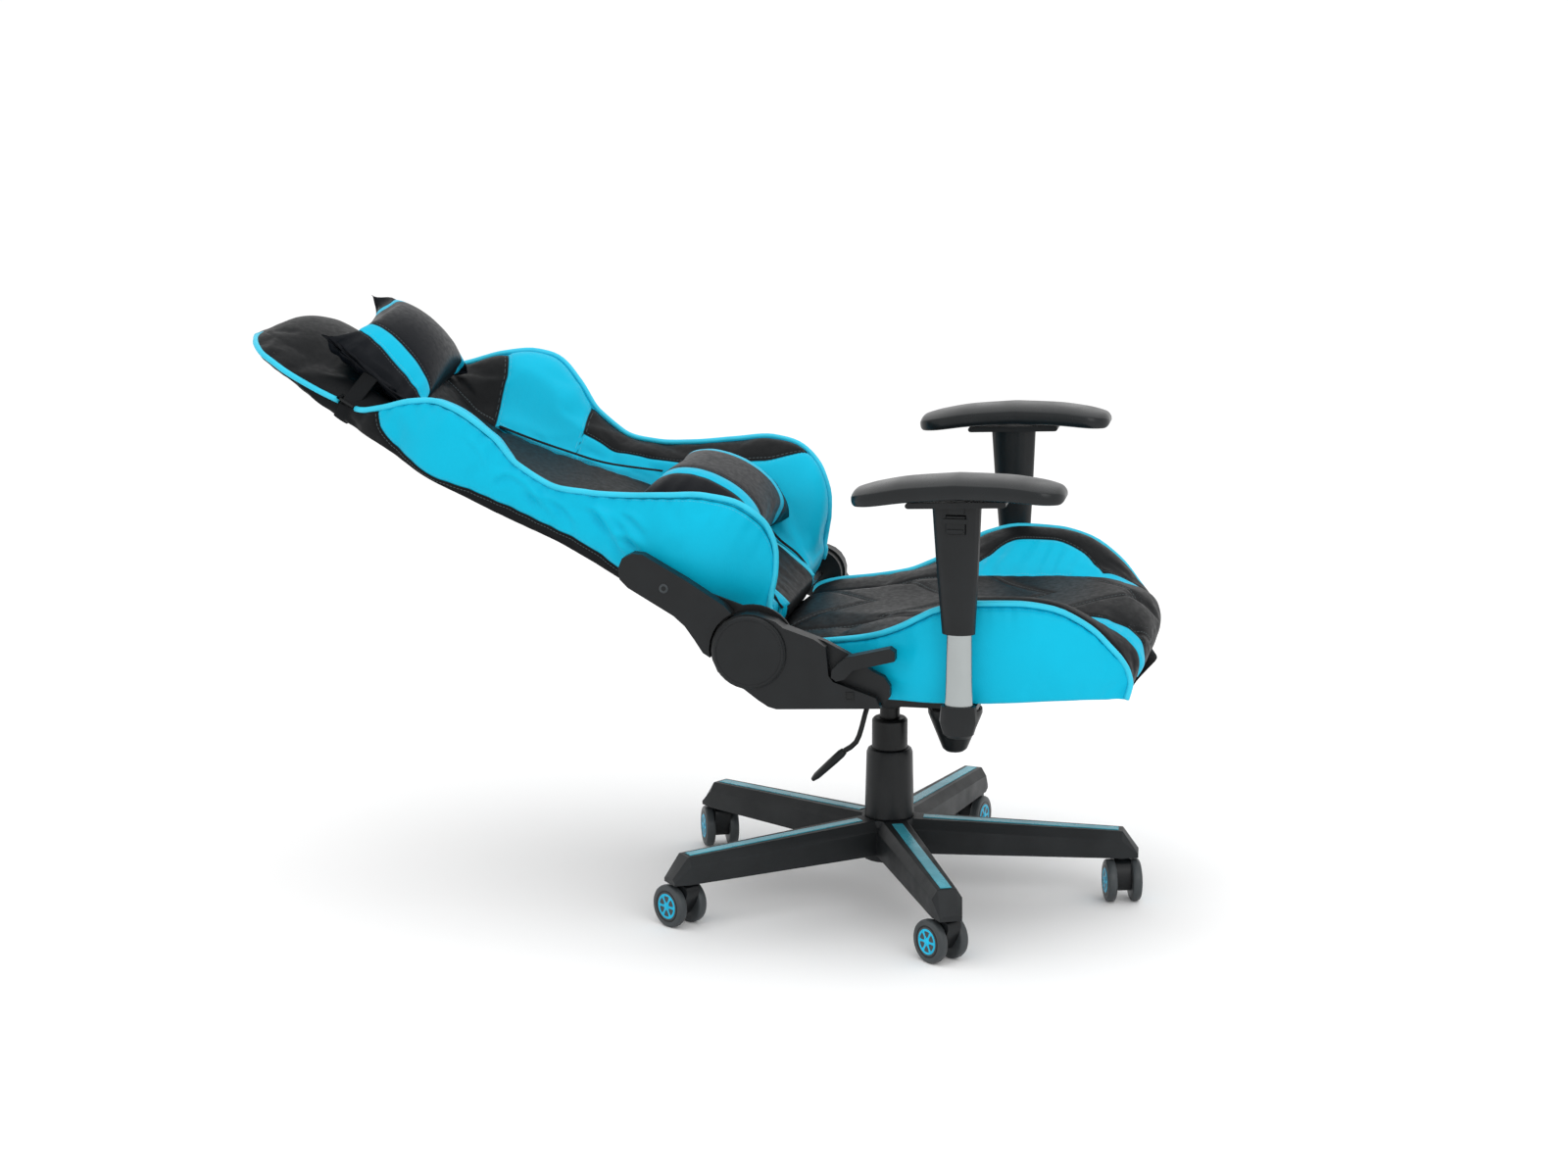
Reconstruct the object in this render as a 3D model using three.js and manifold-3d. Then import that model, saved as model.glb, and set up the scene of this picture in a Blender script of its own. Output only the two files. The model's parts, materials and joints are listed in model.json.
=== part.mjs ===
// A reclining racing-style office chair on a five-legged caster base, as an assembly of separate
// pieces. Millimetres. X runs to the sitter's left, Y to the back and Z up. The origin lies on the
// floor under the middle of the chair's overall box, and the back is stored reclined.
import * as THREE from "three";
import { mergeVertices } from "three/addons/utils/BufferGeometryUtils.js";
import Module from "manifold-3d";

const wasm = await Module();
wasm.setup();

// ---- Driving dimensions -------------------------------------------------------------------------

const GAP = 0.4; // clearance between pieces that touch
const COLUMN_Y = -248; // the column stands this far in front of the overall box's middle

const LEG_COUNT = 5;
const FIRST_LEG_ANGLE = 58.4; // degrees from +X
const LEG_STEP = 360 / LEG_COUNT;
const HUB_RADIUS = 41;
const HUB_BOTTOM = 50;
const HUB_TOP = 110;
const LEG_BOTTOM = 62;
const LEG_SHOULDER = 324; // where the sloping end face of a leg begins
const LEG_TIP = 346;

const CASTER_RADIUS = 322; // from the column to a caster's stem
const WHEEL_RADIUS = 29.5;
const WHEEL_WIDTH = 13;
const WHEEL_SIDES = 20;
const WHEEL_INNER = 11.5; // from the middle of a caster to a wheel's inner face
const CASTER_TRAIL = 11; // from the stem's axis to the wheels' axle
const STEM_RADIUS = 5.2;
const AXLE_RADIUS = 3.2;
const AXLE_HEIGHT = WHEEL_RADIUS * Math.cos(Math.PI / WHEEL_SIDES); // a flat of the tread is down
// Direction of each caster's axle, in degrees from +X, one for each leg.
const AXLE_ANGLES = [112, 143, 138, 106, 75];
const TRAIL_SIDES = [-1, -1, -1, 1, 1];

const CYLINDER_RADIUS = 25;
const CYLINDER_TOP = 250;
const PISTON_RADIUS = 14;
const PISTON_TOP = 291;

const SEAT_HEIGHT = 334; // underside of the seat above the column
const SEAT_TILT = -2.4; // degrees about X: the front is higher
const PAN_THICKNESS = 14;
const FOAM_BOTTOM = 15;
const SEAT_FRONT = -369;
const SEAT_REAR = 138;
const CUSHION_HALF = 128;

const TILT_SHAFT = { y: 40, z: 298, radius: 6 };
const KNOB_Y = -91;
const LEVER_X = -121;

const PIVOT = { y: 143, z: 399 }; // the axis on which the backrest reclines
const BACK_ANGLE = 30; // degrees of the backrest above the horizontal
const DISC_RADIUS = 51; // on the right, where the lever is
const LEFT_DISC_RADIUS = 36;
const SHAFT_RADIUS = 6;
const BRACKET_X = 240; // inner face of the steel recliner bracket
const ARM_PLATE_X = 245; // inner face of the backrest's steel arm
const PLATE_THICKNESS = 4;
const COVER_X = 250; // inner face of the plastic covers
const COVER_STEP_X = 262; // floor of the lever's recess
const LOWER_COVER_OUT = 276;
const UPPER_COVER_OUT = 270;
const COVER_WALL = 3;

const ARM_X = 299;
const ARM_Y = -136;
const ARM_TUBE_TOP = 520;
const SLEEVE_BOTTOM = 441;
const ARM_PLATE_BOTTOM = 608.5; // the plate under an arm pad, at the middle of its length
const ARM_PLATE_TOP = 616;
const PAD_HALF_WIDTH = 45;

const BACK_HALF = 118; // half width of the backrest's middle panel
const BACK_BOTTOM = 12;
const MIDDLE_BOTTOM = -6; // the middle panel reaches further down, to the seat
const HEAD_BOTTOM = 592;
const BACK_TOP = 820;
const HEAD_HALF = 166;

// ---- Finishes -----------------------------------------------------------------------------------

const finish = (color, roughness, metalness = 0) =>
  new THREE.MeshStandardMaterial({ color, roughness, metalness });
const BLACK_PLASTIC = finish(0x232628, 0.5);
const BASE_NYLON = finish(0x26292b, 0.6);
const BLUE_LEATHER = finish(0x16b5d2, 0.42);
const BLACK_LEATHER = finish(0x2b2d2f, 0.45);
const CHROME = finish(0xb7bcbd, 0.2, 1);
const BLACK_STEEL = finish(0x1c1d1e, 0.45, 0.7);
const STEEL = finish(0x8d9193, 0.35, 1);
const WHEEL_GREY = finish(0x3f4244, 0.5);
const PAD_RUBBER = finish(0x3a3e3f, 0.55);
const BOARD = finish(0x2a2622, 0.85);

// ---- Geometry helpers ---------------------------------------------------------------------------

function signedVolume(geometry) {
  const at = geometry.attributes.position;
  const [a, b, c] = [new THREE.Vector3(), new THREE.Vector3(), new THREE.Vector3()];
  let sum = 0;
  for (let i = 0; i < geometry.index.count; i += 3) {
    a.fromBufferAttribute(at, geometry.index.getX(i));
    b.fromBufferAttribute(at, geometry.index.getX(i + 1));
    c.fromBufferAttribute(at, geometry.index.getX(i + 2));
    sum += a.dot(b.cross(c));
  }
  return sum;
}

// The geometry with shared vertices and its faces pointing out.
function closed(geometry) {
  geometry.deleteAttribute("normal");
  geometry.deleteAttribute("uv");
  const merged = mergeVertices(geometry, 1e-3);
  if (signedVolume(merged) < 0) {
    merged.index.array.reverse();
  }
  return merged;
}

function toSolid(geometry) {
  const g = closed(geometry);
  const triVerts = new Uint32Array(g.index.array);
  const vertProperties = g.attributes.position.array;
  return new wasm.Manifold(new wasm.Mesh({ numProp: 3, vertProperties, triVerts }));
}

function fromSolid(solid) {
  const { vertProperties, triVerts } = solid.getMesh();
  return new THREE.BufferGeometry()
    .setAttribute("position", new THREE.BufferAttribute(vertProperties, 3))
    .setIndex(new THREE.BufferAttribute(triVerts, 1));
}

const join = (...pieces) => fromSolid(pieces.map(toSolid).reduce((a, b) => a.add(b)));

const cut = (body, ...tools) =>
  fromSolid(tools.map(toSolid).reduce((a, b) => a.subtract(b), toSolid(body)));

// A smooth one-valued curve through [at, value] pairs, which are in rising or falling order.
function profile(pairs) {
  const curve = new THREE.CatmullRomCurve3(
    pairs.map(([at, value]) => new THREE.Vector3(at, value, 0)),
    false,
    "centripetal",
  );
  const fine = curve.getPoints(pairs.length * 12);
  const rising = pairs.at(-1)[0] > pairs[0][0];
  return (at) => {
    const i = fine.findIndex((p) => (rising ? p.x >= at : p.x <= at));
    if (i === -1) return fine.at(-1).y;
    if (i === 0) return fine[0].y;
    const [p, q] = [fine[i - 1], fine[i]];
    return THREE.MathUtils.lerp(p.y, q.y, (at - p.x) / (q.x - p.x));
  };
}

const steps = (from, to, count) =>
  Array.from({ length: count + 1 }, (_, i) => from + ((to - from) * i) / count);

// One closed body through rings of [x, y, z] points. Each ring is flat across the given axis.
function loft(rings, axis) {
  const count = rings[0].length;
  const index = [];
  for (let r = 0; r < rings.length - 1; r++) {
    for (let i = 0; i < count; i++) {
      const [a, b] = [r * count + i, r * count + ((i + 1) % count)];
      index.push(a, b, b + count, a, b + count, a + count);
    }
  }
  for (const r of [0, rings.length - 1]) {
    const flat = rings[r].map((p) => new THREE.Vector2(...p.filter((_, i) => i !== axis)));
    for (const face of THREE.ShapeUtils.triangulateShape(flat, [])) {
      const outward = runsRound(face, count) === r > 0 ? face : face.reverse();
      index.push(...outward.map((i) => r * count + i));
    }
  }
  return new THREE.BufferGeometry()
    .setAttribute("position", new THREE.Float32BufferAttribute(rings.flat(2), 3))
    .setIndex(index);
}

// Whether a face's three corners follow their ring's own order.
function runsRound([a, b, c], count) {
  const turn = (p, q) => (q - p + count) % count;
  return turn(a, b) + turn(b, c) + turn(c, a) === count;
}

// A ring of points on an oval across Z.
function oval(z, halfX, halfY, x = 0, y = 0, sides = 16) {
  return steps(0, 2 * Math.PI, sides)
    .slice(0, -1)
    .map((t) => [x + halfX * Math.cos(t), y + halfY * Math.sin(t), z]);
}

const toShape = (points) => new THREE.Shape(points.map(([a, b]) => new THREE.Vector2(a, b)));

// A smooth closed outline through the points.
function smooth(points, divisions = 36) {
  const curve = new THREE.CatmullRomCurve3(
    points.map(([a, b]) => new THREE.Vector3(a, b, 0)),
    true,
    "centripetal",
  );
  return curve.getPoints(divisions).slice(0, -1).map((p) => [p.x, p.y]);
}

// A [y, z] outline that runs from one x to another.
function across(points, fromX, toX) {
  const toYZX = new THREE.Matrix4().makeBasis(
    new THREE.Vector3(0, 1, 0),
    new THREE.Vector3(0, 0, 1),
    new THREE.Vector3(1, 0, 0),
  );
  return new THREE.ExtrudeGeometry(toShape(points), { depth: toX - fromX, bevelEnabled: false })
    .applyMatrix4(toYZX)
    .translate(fromX, 0, 0);
}

// An outline moved inwards by a wall's thickness.
function inset(points, wall) {
  const flip = THREE.ShapeUtils.area(points.map(([a, b]) => new THREE.Vector2(a, b))) < 0 ? -1 : 1;
  return points.map((point, i) => {
    const [before, after] = [points.at(i - 1), points[(i + 1) % points.length]];
    const along = new THREE.Vector2(after[0] - before[0], after[1] - before[1]).normalize();
    return [point[0] - flip * wall * along.y, point[1] + flip * wall * along.x];
  });
}

const box = ([x0, x1], [y0, y1], [z0, z1]) =>
  new THREE.BoxGeometry(x1 - x0, y1 - y0, z1 - z0).translate(
    (x0 + x1) / 2,
    (y0 + y1) / 2,
    (z0 + z1) / 2,
  );

// A [radius, height] profile turned about Z.
const turned = (points, sides = 20) =>
  new THREE.LatheGeometry(points.map(([r, h]) => new THREE.Vector2(r, h)), sides).rotateX(
    Math.PI / 2,
  );

// A [radius, height] profile turned about X.
const turnedAboutX = (points, sides = 20) => turned(points, sides).rotateY(Math.PI / 2);

const rod = (radius, fromX, toX, y, z, sides = 12) =>
  turnedAboutX([[0, fromX], [radius, fromX], [radius, toX], [0, toX]], sides).translate(0, y, z);

const upright = (radius, fromZ, toZ, x = 0, y = 0, sides = 20) =>
  turned([[0, fromZ], [radius, fromZ], [radius, toZ], [0, toZ]], sides).translate(x, y, 0);

// A round bar along a curve through the points.
function bar(points, radius, stepCount, sides = 6) {
  const section = new THREE.Shape().absarc(0, 0, radius, 0, 2 * Math.PI);
  const path = new THREE.CatmullRomCurve3(
    points.map((p) => new THREE.Vector3(...p)),
    false,
    "centripetal",
  );
  return new THREE.ExtrudeGeometry(section, {
    steps: stepCount,
    curveSegments: sides / 2,
    extrudePath: path,
  });
}

function part(parent, name, geometry, material) {
  const mesh = new THREE.Mesh(closed(geometry), material.clone());
  mesh.name = name;
  parent.add(mesh);
}

const SIDES = [["right", -1], ["left", 1]];

// ---- Base and casters ---------------------------------------------------------------------------

function legRing(r, top, crease, topHalf, sideHalf) {
  return [
    [r, -sideHalf, LEG_BOTTOM],
    [r, sideHalf, LEG_BOTTOM],
    [r, sideHalf, crease],
    [r, topHalf, top],
    [r, -topHalf, top],
    [r, -sideHalf, crease],
  ];
}

function starBase() {
  const leg = loft(
    [
      legRing(20, HUB_TOP, 97, 17, 27),
      legRing(LEG_SHOULDER, 99, 87, 13, 20.5),
      legRing(LEG_TIP, 70, 67, 9, 15),
    ],
    0,
  );
  const hub = turned([
    [0, HUB_BOTTOM],
    [HUB_RADIUS - 5, HUB_BOTTOM],
    [HUB_RADIUS, LEG_BOTTOM],
    [HUB_RADIUS, HUB_TOP - 8],
    [HUB_RADIUS - 3, HUB_TOP],
    [0, HUB_TOP],
  ]);
  const socket = upright(STEM_RADIUS + GAP, LEG_BOTTOM - 1, LEG_BOTTOM + 24, CASTER_RADIUS, 0, 12);
  const around = (geometry) =>
    steps(0, LEG_COUNT - 1, LEG_COUNT - 1).map((i) =>
      geometry.clone().rotateZ(THREE.MathUtils.degToRad(FIRST_LEG_ANGLE + i * LEG_STEP)),
    );
  const bore = upright(CYLINDER_RADIUS + GAP, HUB_BOTTOM - 1, HUB_TOP + 1);
  return cut(join(hub, ...around(leg)), bore, ...around(socket));
}

// The axle runs along X, and the wheels trail the stem along -Y.
function casterHousing() {
  const y = -CASTER_TRAIL;
  const half = WHEEL_INNER - GAP;
  const cheek = across(
    smooth([
      [y - 16, AXLE_HEIGHT],
      [y - 10, AXLE_HEIGHT - 12],
      [y + 6, AXLE_HEIGHT - 14],
      [y + 17, AXLE_HEIGHT - 2],
      [17, 50],
      [14, 58],
      [-12, 58],
      [y - 12, 48],
    ], 18),
    -half,
    half,
  );
  const reach = WHEEL_INNER + WHEEL_WIDTH - 4;
  const axle = rod(AXLE_RADIUS, -reach, reach, y, AXLE_HEIGHT, 10);
  const collar = upright(11, 55, LEG_BOTTOM - GAP, 0, 0, 12);
  const stem = upright(STEM_RADIUS, 55, LEG_BOTTOM + 22, 0, 0, 12);
  return join(cheek, axle, collar, stem);
}

function casterWheel(side) {
  const bore = AXLE_RADIUS + GAP;
  const wheel = turnedAboutX([
    [0, WHEEL_WIDTH],
    [20, WHEEL_WIDTH],
    [WHEEL_RADIUS - 2.5, WHEEL_WIDTH - 1.5],
    [WHEEL_RADIUS, WHEEL_WIDTH - 4],
    [WHEEL_RADIUS, 3],
    [WHEEL_RADIUS - 3, 0],
    [bore, 0],
    [bore, WHEEL_WIDTH - 3],
    [0, WHEEL_WIDTH - 3],
  ], WHEEL_SIDES);
  return wheel
    .rotateX(Math.PI / WHEEL_SIDES)
    .translate(WHEEL_INNER, -CASTER_TRAIL, AXLE_HEIGHT)
    .scale(side, 1, 1);
}

function addCasters(chair) {
  AXLE_ANGLES.forEach((axleAngle, i) => {
    const legAngle = THREE.MathUtils.degToRad(FIRST_LEG_ANGLE + i * LEG_STEP);
    const caster = new THREE.Group();
    caster.position.set(CASTER_RADIUS * Math.cos(legAngle), CASTER_RADIUS * Math.sin(legAngle), 0);
    caster.rotation.z = THREE.MathUtils.degToRad(axleAngle + (TRAIL_SIDES[i] > 0 ? 180 : 0));
    const number = i + 1;
    part(caster, `caster_housing_${number}`, casterHousing(), BLACK_PLASTIC);
    part(caster, `caster_wheel_${number}a`, casterWheel(-1), WHEEL_GREY);
    part(caster, `caster_wheel_${number}b`, casterWheel(1), WHEEL_GREY);
    chair.add(caster);
  });
}

// ---- Gas lift and tilt mechanism ----------------------------------------------------------------

function gasCylinder() {
  const bore = PISTON_RADIUS + GAP;
  return turned([
    [0, 46],
    [CYLINDER_RADIUS - 1, 46],
    [CYLINDER_RADIUS, HUB_TOP],
    [CYLINDER_RADIUS, CYLINDER_TOP - 4],
    [CYLINDER_RADIUS - 3, CYLINDER_TOP],
    [bore, CYLINDER_TOP],
    [bore, 84],
    [0, 84],
  ]);
}

function columnCover() {
  const bottom = HUB_TOP + GAP;
  const inner = CYLINDER_RADIUS + GAP;
  return turned([
    [31.5, bottom],
    [34.5, bottom],
    [32.5, 200],
    [30, 206],
    [inner, 207.5],
    [inner, 204],
    [28.5, 202.5],
    [29.8, 199],
    [31.5, bottom],
  ]);
}

const gasPiston = () =>
  turned([
    [0, 124],
    [PISTON_RADIUS, 124],
    [PISTON_RADIUS, 262],
    [PISTON_RADIUS - 1, 270],
    [PISTON_RADIUS - 1, PISTON_TOP],
    [4, PISTON_TOP],
    [4, PISTON_TOP + 3],
    [0, PISTON_TOP + 3],
  ]);

function mechanismHousing() {
  const tray = box([-46, 46], [-128, 62], [276, 308]);
  const hollow = box([-42, 42], [-124, 58], [280, 309]);
  const socketOuter = turned([[0, 266], [18.5, 266], [21, 277], [21, 292], [0, 292]]);
  const socketBore = upright(PISTON_RADIUS + GAP, 260, 300);
  const shaftHole = rod(TILT_SHAFT.radius + GAP, -50, 50, TILT_SHAFT.y, TILT_SHAFT.z);
  const leverHole = box([-50, -40], [1, 19], [287, 309]);
  const knobHole = upright(5.5, 270, 285, 0, KNOB_Y, 16);
  const shell = cut(tray, hollow);
  return cut(join(shell, socketOuter), socketBore, shaftHole, leverHole, knobHole);
}

// The bell-shaped tension knob with its screw.
const tensionKnob = () =>
  turned([
    [0, 206],
    [12, 206],
    [17, 210],
    [35, 254],
    [38, 262],
    [38, 268],
    [35, 268],
    [33, 257],
    [15, 214],
    [4.5, 214],
    [4.5, 300],
    [0, 300],
  ]).translate(0, KNOB_Y, 0);

function tensionSpring() {
  const [turns, radius, bottom, top] = [3, 9.5, 219, 272];
  const points = steps(0, 1, turns * 8).map((t) => [
    radius * Math.cos(2 * Math.PI * turns * t),
    KNOB_Y + radius * Math.sin(2 * Math.PI * turns * t),
    bottom + (top - bottom) * t,
  ]);
  return bar(points, 1.8, turns * 9, 4);
}

const LEVER_END = new THREE.Vector3(LEVER_X, 43, 231);
const GRIP_END = new THREE.Vector3(LEVER_X, 86, 189);

const leverRod = () =>
  bar([
    [-6, 8, 305],
    [-44, 9, 299],
    [-104, 11, 298],
    [-118, 13, 291],
    [LEVER_X, 24, 250],
    [LEVER_X, 30, 240],
    LEVER_END.toArray(),
  ], 4, 18);

function leverGrip() {
  const along = GRIP_END.clone().sub(LEVER_END).normalize();
  const length = GRIP_END.distanceTo(LEVER_END);
  const stations = [[0, 5, 5], [6, 6, 6], [18, 9, 6], [length - 8, 8.5, 5], [length, 6, 3]];
  const rings = stations.map(([at, halfX, halfY]) => oval(at, halfX, halfY, 0, 0, 12));
  const turn = new THREE.Quaternion().setFromUnitVectors(new THREE.Vector3(0, 0, 1), along);
  const start = LEVER_END.clone().addScaledVector(along, GAP + 0.2);
  return loft(rings, 2).applyQuaternion(turn).translate(...start.toArray());
}

function addMechanism(chair) {
  const { y, z, radius } = TILT_SHAFT;
  part(chair, "gas_piston", gasPiston(), BLACK_STEEL);
  part(chair, "mechanism_housing", mechanismHousing(), BLACK_STEEL);
  part(chair, "tilt_shaft", rod(radius, -60, 60, y, z), STEEL);
  part(chair, "tension_knob", tensionKnob(), BLACK_PLASTIC);
  part(chair, "tension_spring", tensionSpring(), STEEL);
  part(chair, "lift_lever_rod", leverRod(), BLACK_STEEL);
  part(chair, "lift_lever_grip", leverGrip(), BLACK_PLASTIC);
}

// ---- Seat, in a frame tilted with it, z = 0 at its underside ------------------------------------

const seatHalf = profile([
  [SEAT_REAR, 208], [20, 215], [-20, 236], [-48, 247], [-80, 262], [-150, 267],
  [-220, 252], [-285, 228], [-322, 209], [-345, 197], [SEAT_FRONT, 188],
]);
const seatRidge = profile([
  [SEAT_REAR, 58], [106, 66], [50, 71], [4, 78], [-27, 88], [-56, 100], [-82, 114], [-105, 124],
  [-151, 133], [-207, 131], [-256, 120], [-285, 103], [-305, 86], [-322, 65], [-337, 45],
  [-345, 28], [SEAT_FRONT, 12],
]);
const seatEdge = profile([
  [SEAT_REAR, 56], [20, 72], [-40, 82], [-163, 86], [-218, 87], [-272, 83], [-311, 78],
  [-338, 66], [-355, 47], [SEAT_FRONT, 22],
]);

function tiltPlate(shaftY, shaftZ) {
  const plate = box([-80, 80], [-150, 62], [-7, -2]);
  const flange = (x) => box([x - 2, x + 2], [shaftY - 16, shaftY + 16], [shaftZ - 14, -3]);
  const hole = rod(TILT_SHAFT.radius + GAP, -70, 70, shaftY, shaftZ);
  return cut(join(plate, flange(-50.5), flange(50.5)), hole);
}

function seatPan() {
  const ys = steps(SEAT_REAR - 10, SEAT_FRONT + 60, 12);
  return loft(
    ys.map((y) => {
      const half = seatHalf(y) - 8;
      return [[-half, y, 0], [half, y, 0], [half, y, PAN_THICKNESS], [-half, y, PAN_THICKNESS]];
    }),
    1,
  );
}

const seatCushion = () =>
  across(
    [
      [SEAT_REAR - 6, FOAM_BOTTOM],
      [SEAT_REAR, 34],
      [SEAT_REAR - 6, 56],
      [100, 61],
      [60, 65],
      [-60, 72],
      [-224, 82],
      [-300, 85],
      [-340, 78],
      [-361, 62],
      [SEAT_FRONT, 42],
      [-364, 22],
      [-350, FOAM_BOTTOM],
    ],
    -CUSHION_HALF,
    CUSHION_HALF,
  );

function seatBolster(side) {
  const ys = steps(SEAT_REAR - 4, SEAT_FRONT + 14, 22);
  const rings = ys.map((y) => {
    const [half, ridge] = [seatHalf(y), seatRidge(y)];
    return [
      [CUSHION_HALF + GAP, y, FOAM_BOTTOM],
      [CUSHION_HALF + GAP, y, seatEdge(y)],
      [half - 40, y, Math.max(ridge - 1, FOAM_BOTTOM + 4)],
      [half - 12, y, Math.max(ridge, FOAM_BOTTOM + 4)],
      [half, y, FOAM_BOTTOM + 0.55 * (ridge - FOAM_BOTTOM)],
      [half - 3, y, FOAM_BOTTOM],
    ];
  });
  return loft(rings, 1).scale(side, 1, 1);
}

function addSeat(chair) {
  const seat = new THREE.Group();
  seat.position.z = SEAT_HEIGHT;
  seat.rotation.x = THREE.MathUtils.degToRad(SEAT_TILT);
  const shaft = new THREE.Vector3(0, TILT_SHAFT.y, TILT_SHAFT.z - SEAT_HEIGHT).applyEuler(
    new THREE.Euler(-seat.rotation.x, 0, 0),
  );
  part(seat, "tilt_plate", tiltPlate(shaft.y, shaft.z), BLACK_STEEL);
  part(seat, "seat_pan", seatPan(), BOARD);
  part(seat, "seat_cushion", seatCushion(), BLACK_LEATHER);
  for (const [name, side] of SIDES) {
    part(seat, `seat_bolster_${name}`, seatBolster(side), BLUE_LEATHER);
  }
  chair.add(seat);
}

// ---- Recliner between seat and backrest ---------------------------------------------------------

const discRadius = (side) => (side < 0 ? DISC_RADIUS : LEFT_DISC_RADIUS);

function reclinerBracket(side) {
  const { y, z } = PIVOT;
  const plateOut = BRACKET_X + PLATE_THICKNESS;
  const top = side < 0 ? [[8, 366], [60, 392], [112, 420]] : [[8, 354], [60, 364], [108, 378]];
  const plate = across([[8, 333], ...top, [150, 372], [112, 328]], BRACKET_X, plateOut);
  const hub = rod(35, BRACKET_X - 11, plateOut, y, z, 28);
  const foot = box([196, BRACKET_X + 1], [10, 92], [322, 327]);
  const web = box([BRACKET_X - 5, BRACKET_X + 1], [10, 92], [322, 350]);
  const hole = rod(SHAFT_RADIUS + GAP, 200, 260, y, z);
  return cut(join(plate, hub, web, foot), hole).scale(side, 1, 1);
}

// The top of a lower cover's outline, [y, z], which follows the disc from one angle to another.
const coverDisc = (radius, from, to, count) =>
  steps(from, to, count).map((angle) => {
    const t = THREE.MathUtils.degToRad(angle);
    return [PIVOT.y + radius * Math.cos(t), PIVOT.z + radius * Math.sin(t)];
  });

// The right cover's outline, [y, z], runs from the disc's rear round its underside to the nose.
// Its floor is low, where the lever lies in a recess, and its rim stands higher behind the lever.
function rightCoverOutlines() {
  const underside = [
    [192, 387], [185, 371], [170, 358], [150, 349], [131, 335], [118, 327], [107, 324], [-31, 331],
  ];
  const nose = [[-41, 344], [-41, 358], [-33, 370], [-18, 377], [14, 399], [46, 415]];
  const recess = [[-24, 345], [32, 364], [38, 372], [42, 410], [58, 420]];
  const top = [[98, 433], [108, 441], ...coverDisc(DISC_RADIUS, 115, 0, 7)];
  return { floor: [...underside, ...nose, ...top], rim: [...underside, ...recess, ...top] };
}

// The left cover has no lever, so it is lower and plain.
function leftCoverOutlines() {
  const underside = [
    [178, 390], [172, 377], [160, 366], [140, 350], [124, 333], [107, 324], [-31, 331],
  ];
  const nose = [[-41, 340], [-38, 350], [-18, 357], [14, 363], [60, 372], [100, 382]];
  const outline = [...underside, ...nose, ...coverDisc(LEFT_DISC_RADIUS, 190, 0, 11)];
  return { floor: outline, rim: outline };
}

function lowerCover(side) {
  const { floor, rim } = side < 0 ? rightCoverOutlines() : leftCoverOutlines();
  const radius = discRadius(side);
  const shell = join(
    across(floor, COVER_X, COVER_STEP_X),
    across(rim, COVER_STEP_X - 1, LOWER_COVER_OUT),
    turnedAboutX([
      [0, LOWER_COVER_OUT - 2],
      [radius - 2, LOWER_COVER_OUT - 2],
      [radius - 2, LOWER_COVER_OUT + 3],
      [radius - 4, LOWER_COVER_OUT + 5],
      [0, LOWER_COVER_OUT + 5],
    ], 36).translate(0, PIVOT.y, PIVOT.z),
  );
  const hollow = across(inset(rim, COVER_WALL), COVER_X - 1, LOWER_COVER_OUT - COVER_WALL);
  return cut(shell, hollow).scale(side, 1, 1);
}

const reclineLever = () =>
  across(
    [
      [34, 371], [33, 381], [24, 391], [13, 399], [-43, 413], [-50, 408], [-50, 396], [4, 382],
      [16, 369], [27, 366],
    ],
    -LOWER_COVER_OUT - 6,
    -COVER_STEP_X - 1,
  );

function addRecliner(chair) {
  for (const [name, side] of SIDES) {
    part(chair, `recliner_bracket_${name}`, reclinerBracket(side), BLACK_STEEL);
    part(chair, `lower_cover_${name}`, lowerCover(side), BLACK_PLASTIC);
  }
  const reach = COVER_X - GAP;
  const shaft = rod(SHAFT_RADIUS, -reach, reach, PIVOT.y, PIVOT.z);
  part(chair, "cross_shaft", shaft, STEEL);
  part(chair, "recline_lever", reclineLever(), BLACK_PLASTIC);
}

// ---- Armrests -----------------------------------------------------------------------------------

const armTubeRing = (z, halfY) => oval(z, 11, halfY, ARM_X, ARM_Y);

const armTube = (side) =>
  loft([armTubeRing(312, 18), armTubeRing(345, 18), armTubeRing(ARM_TUBE_TOP, 15.5)], 2).scale(
    side, 1, 1,
  );

function armCup(side) {
  const rings = [[303, 8, 14], [308, 13, 20], [325, 16, 25], [346, 15, 23]];
  const cup = loft(rings.map(([z, hx, hy]) => oval(z, hx, hy, ARM_X, ARM_Y)), 2);
  const pocket = loft([oval(311, 11.5, 18.6, ARM_X, ARM_Y), oval(347, 11.5, 18.6, ARM_X, ARM_Y)], 2);
  return cut(cup, pocket).scale(side, 1, 1);
}

const armBracket = (side) =>
  box([150, ARM_X - 17], [ARM_Y - 18, ARM_Y + 18], [330, 336]).scale(side, 1, 1);

// The plate and the pad lean with the seat.
const leaning = (geometry) =>
  geometry
    .translate(0, -ARM_Y, -ARM_PLATE_TOP)
    .rotateX(THREE.MathUtils.degToRad(SEAT_TILT))
    .translate(0, ARM_Y, ARM_PLATE_TOP);

function armPlate() {
  const [front, rear, round] = [-193, -72, 4];
  const middle = (ARM_PLATE_BOTTOM + ARM_PLATE_TOP) / 2;
  const half = (ARM_PLATE_TOP - ARM_PLATE_BOTTOM) / 2;
  const end = (y, from) =>
    steps(from, from + 180, 6).map((angle) => {
      const t = THREE.MathUtils.degToRad(angle);
      return [y + round * Math.cos(t), middle + half * Math.sin(t)];
    });
  return leaning(across([...end(rear, -90), ...end(front, 90)], ARM_X - 28, ARM_X + 28));
}

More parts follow.
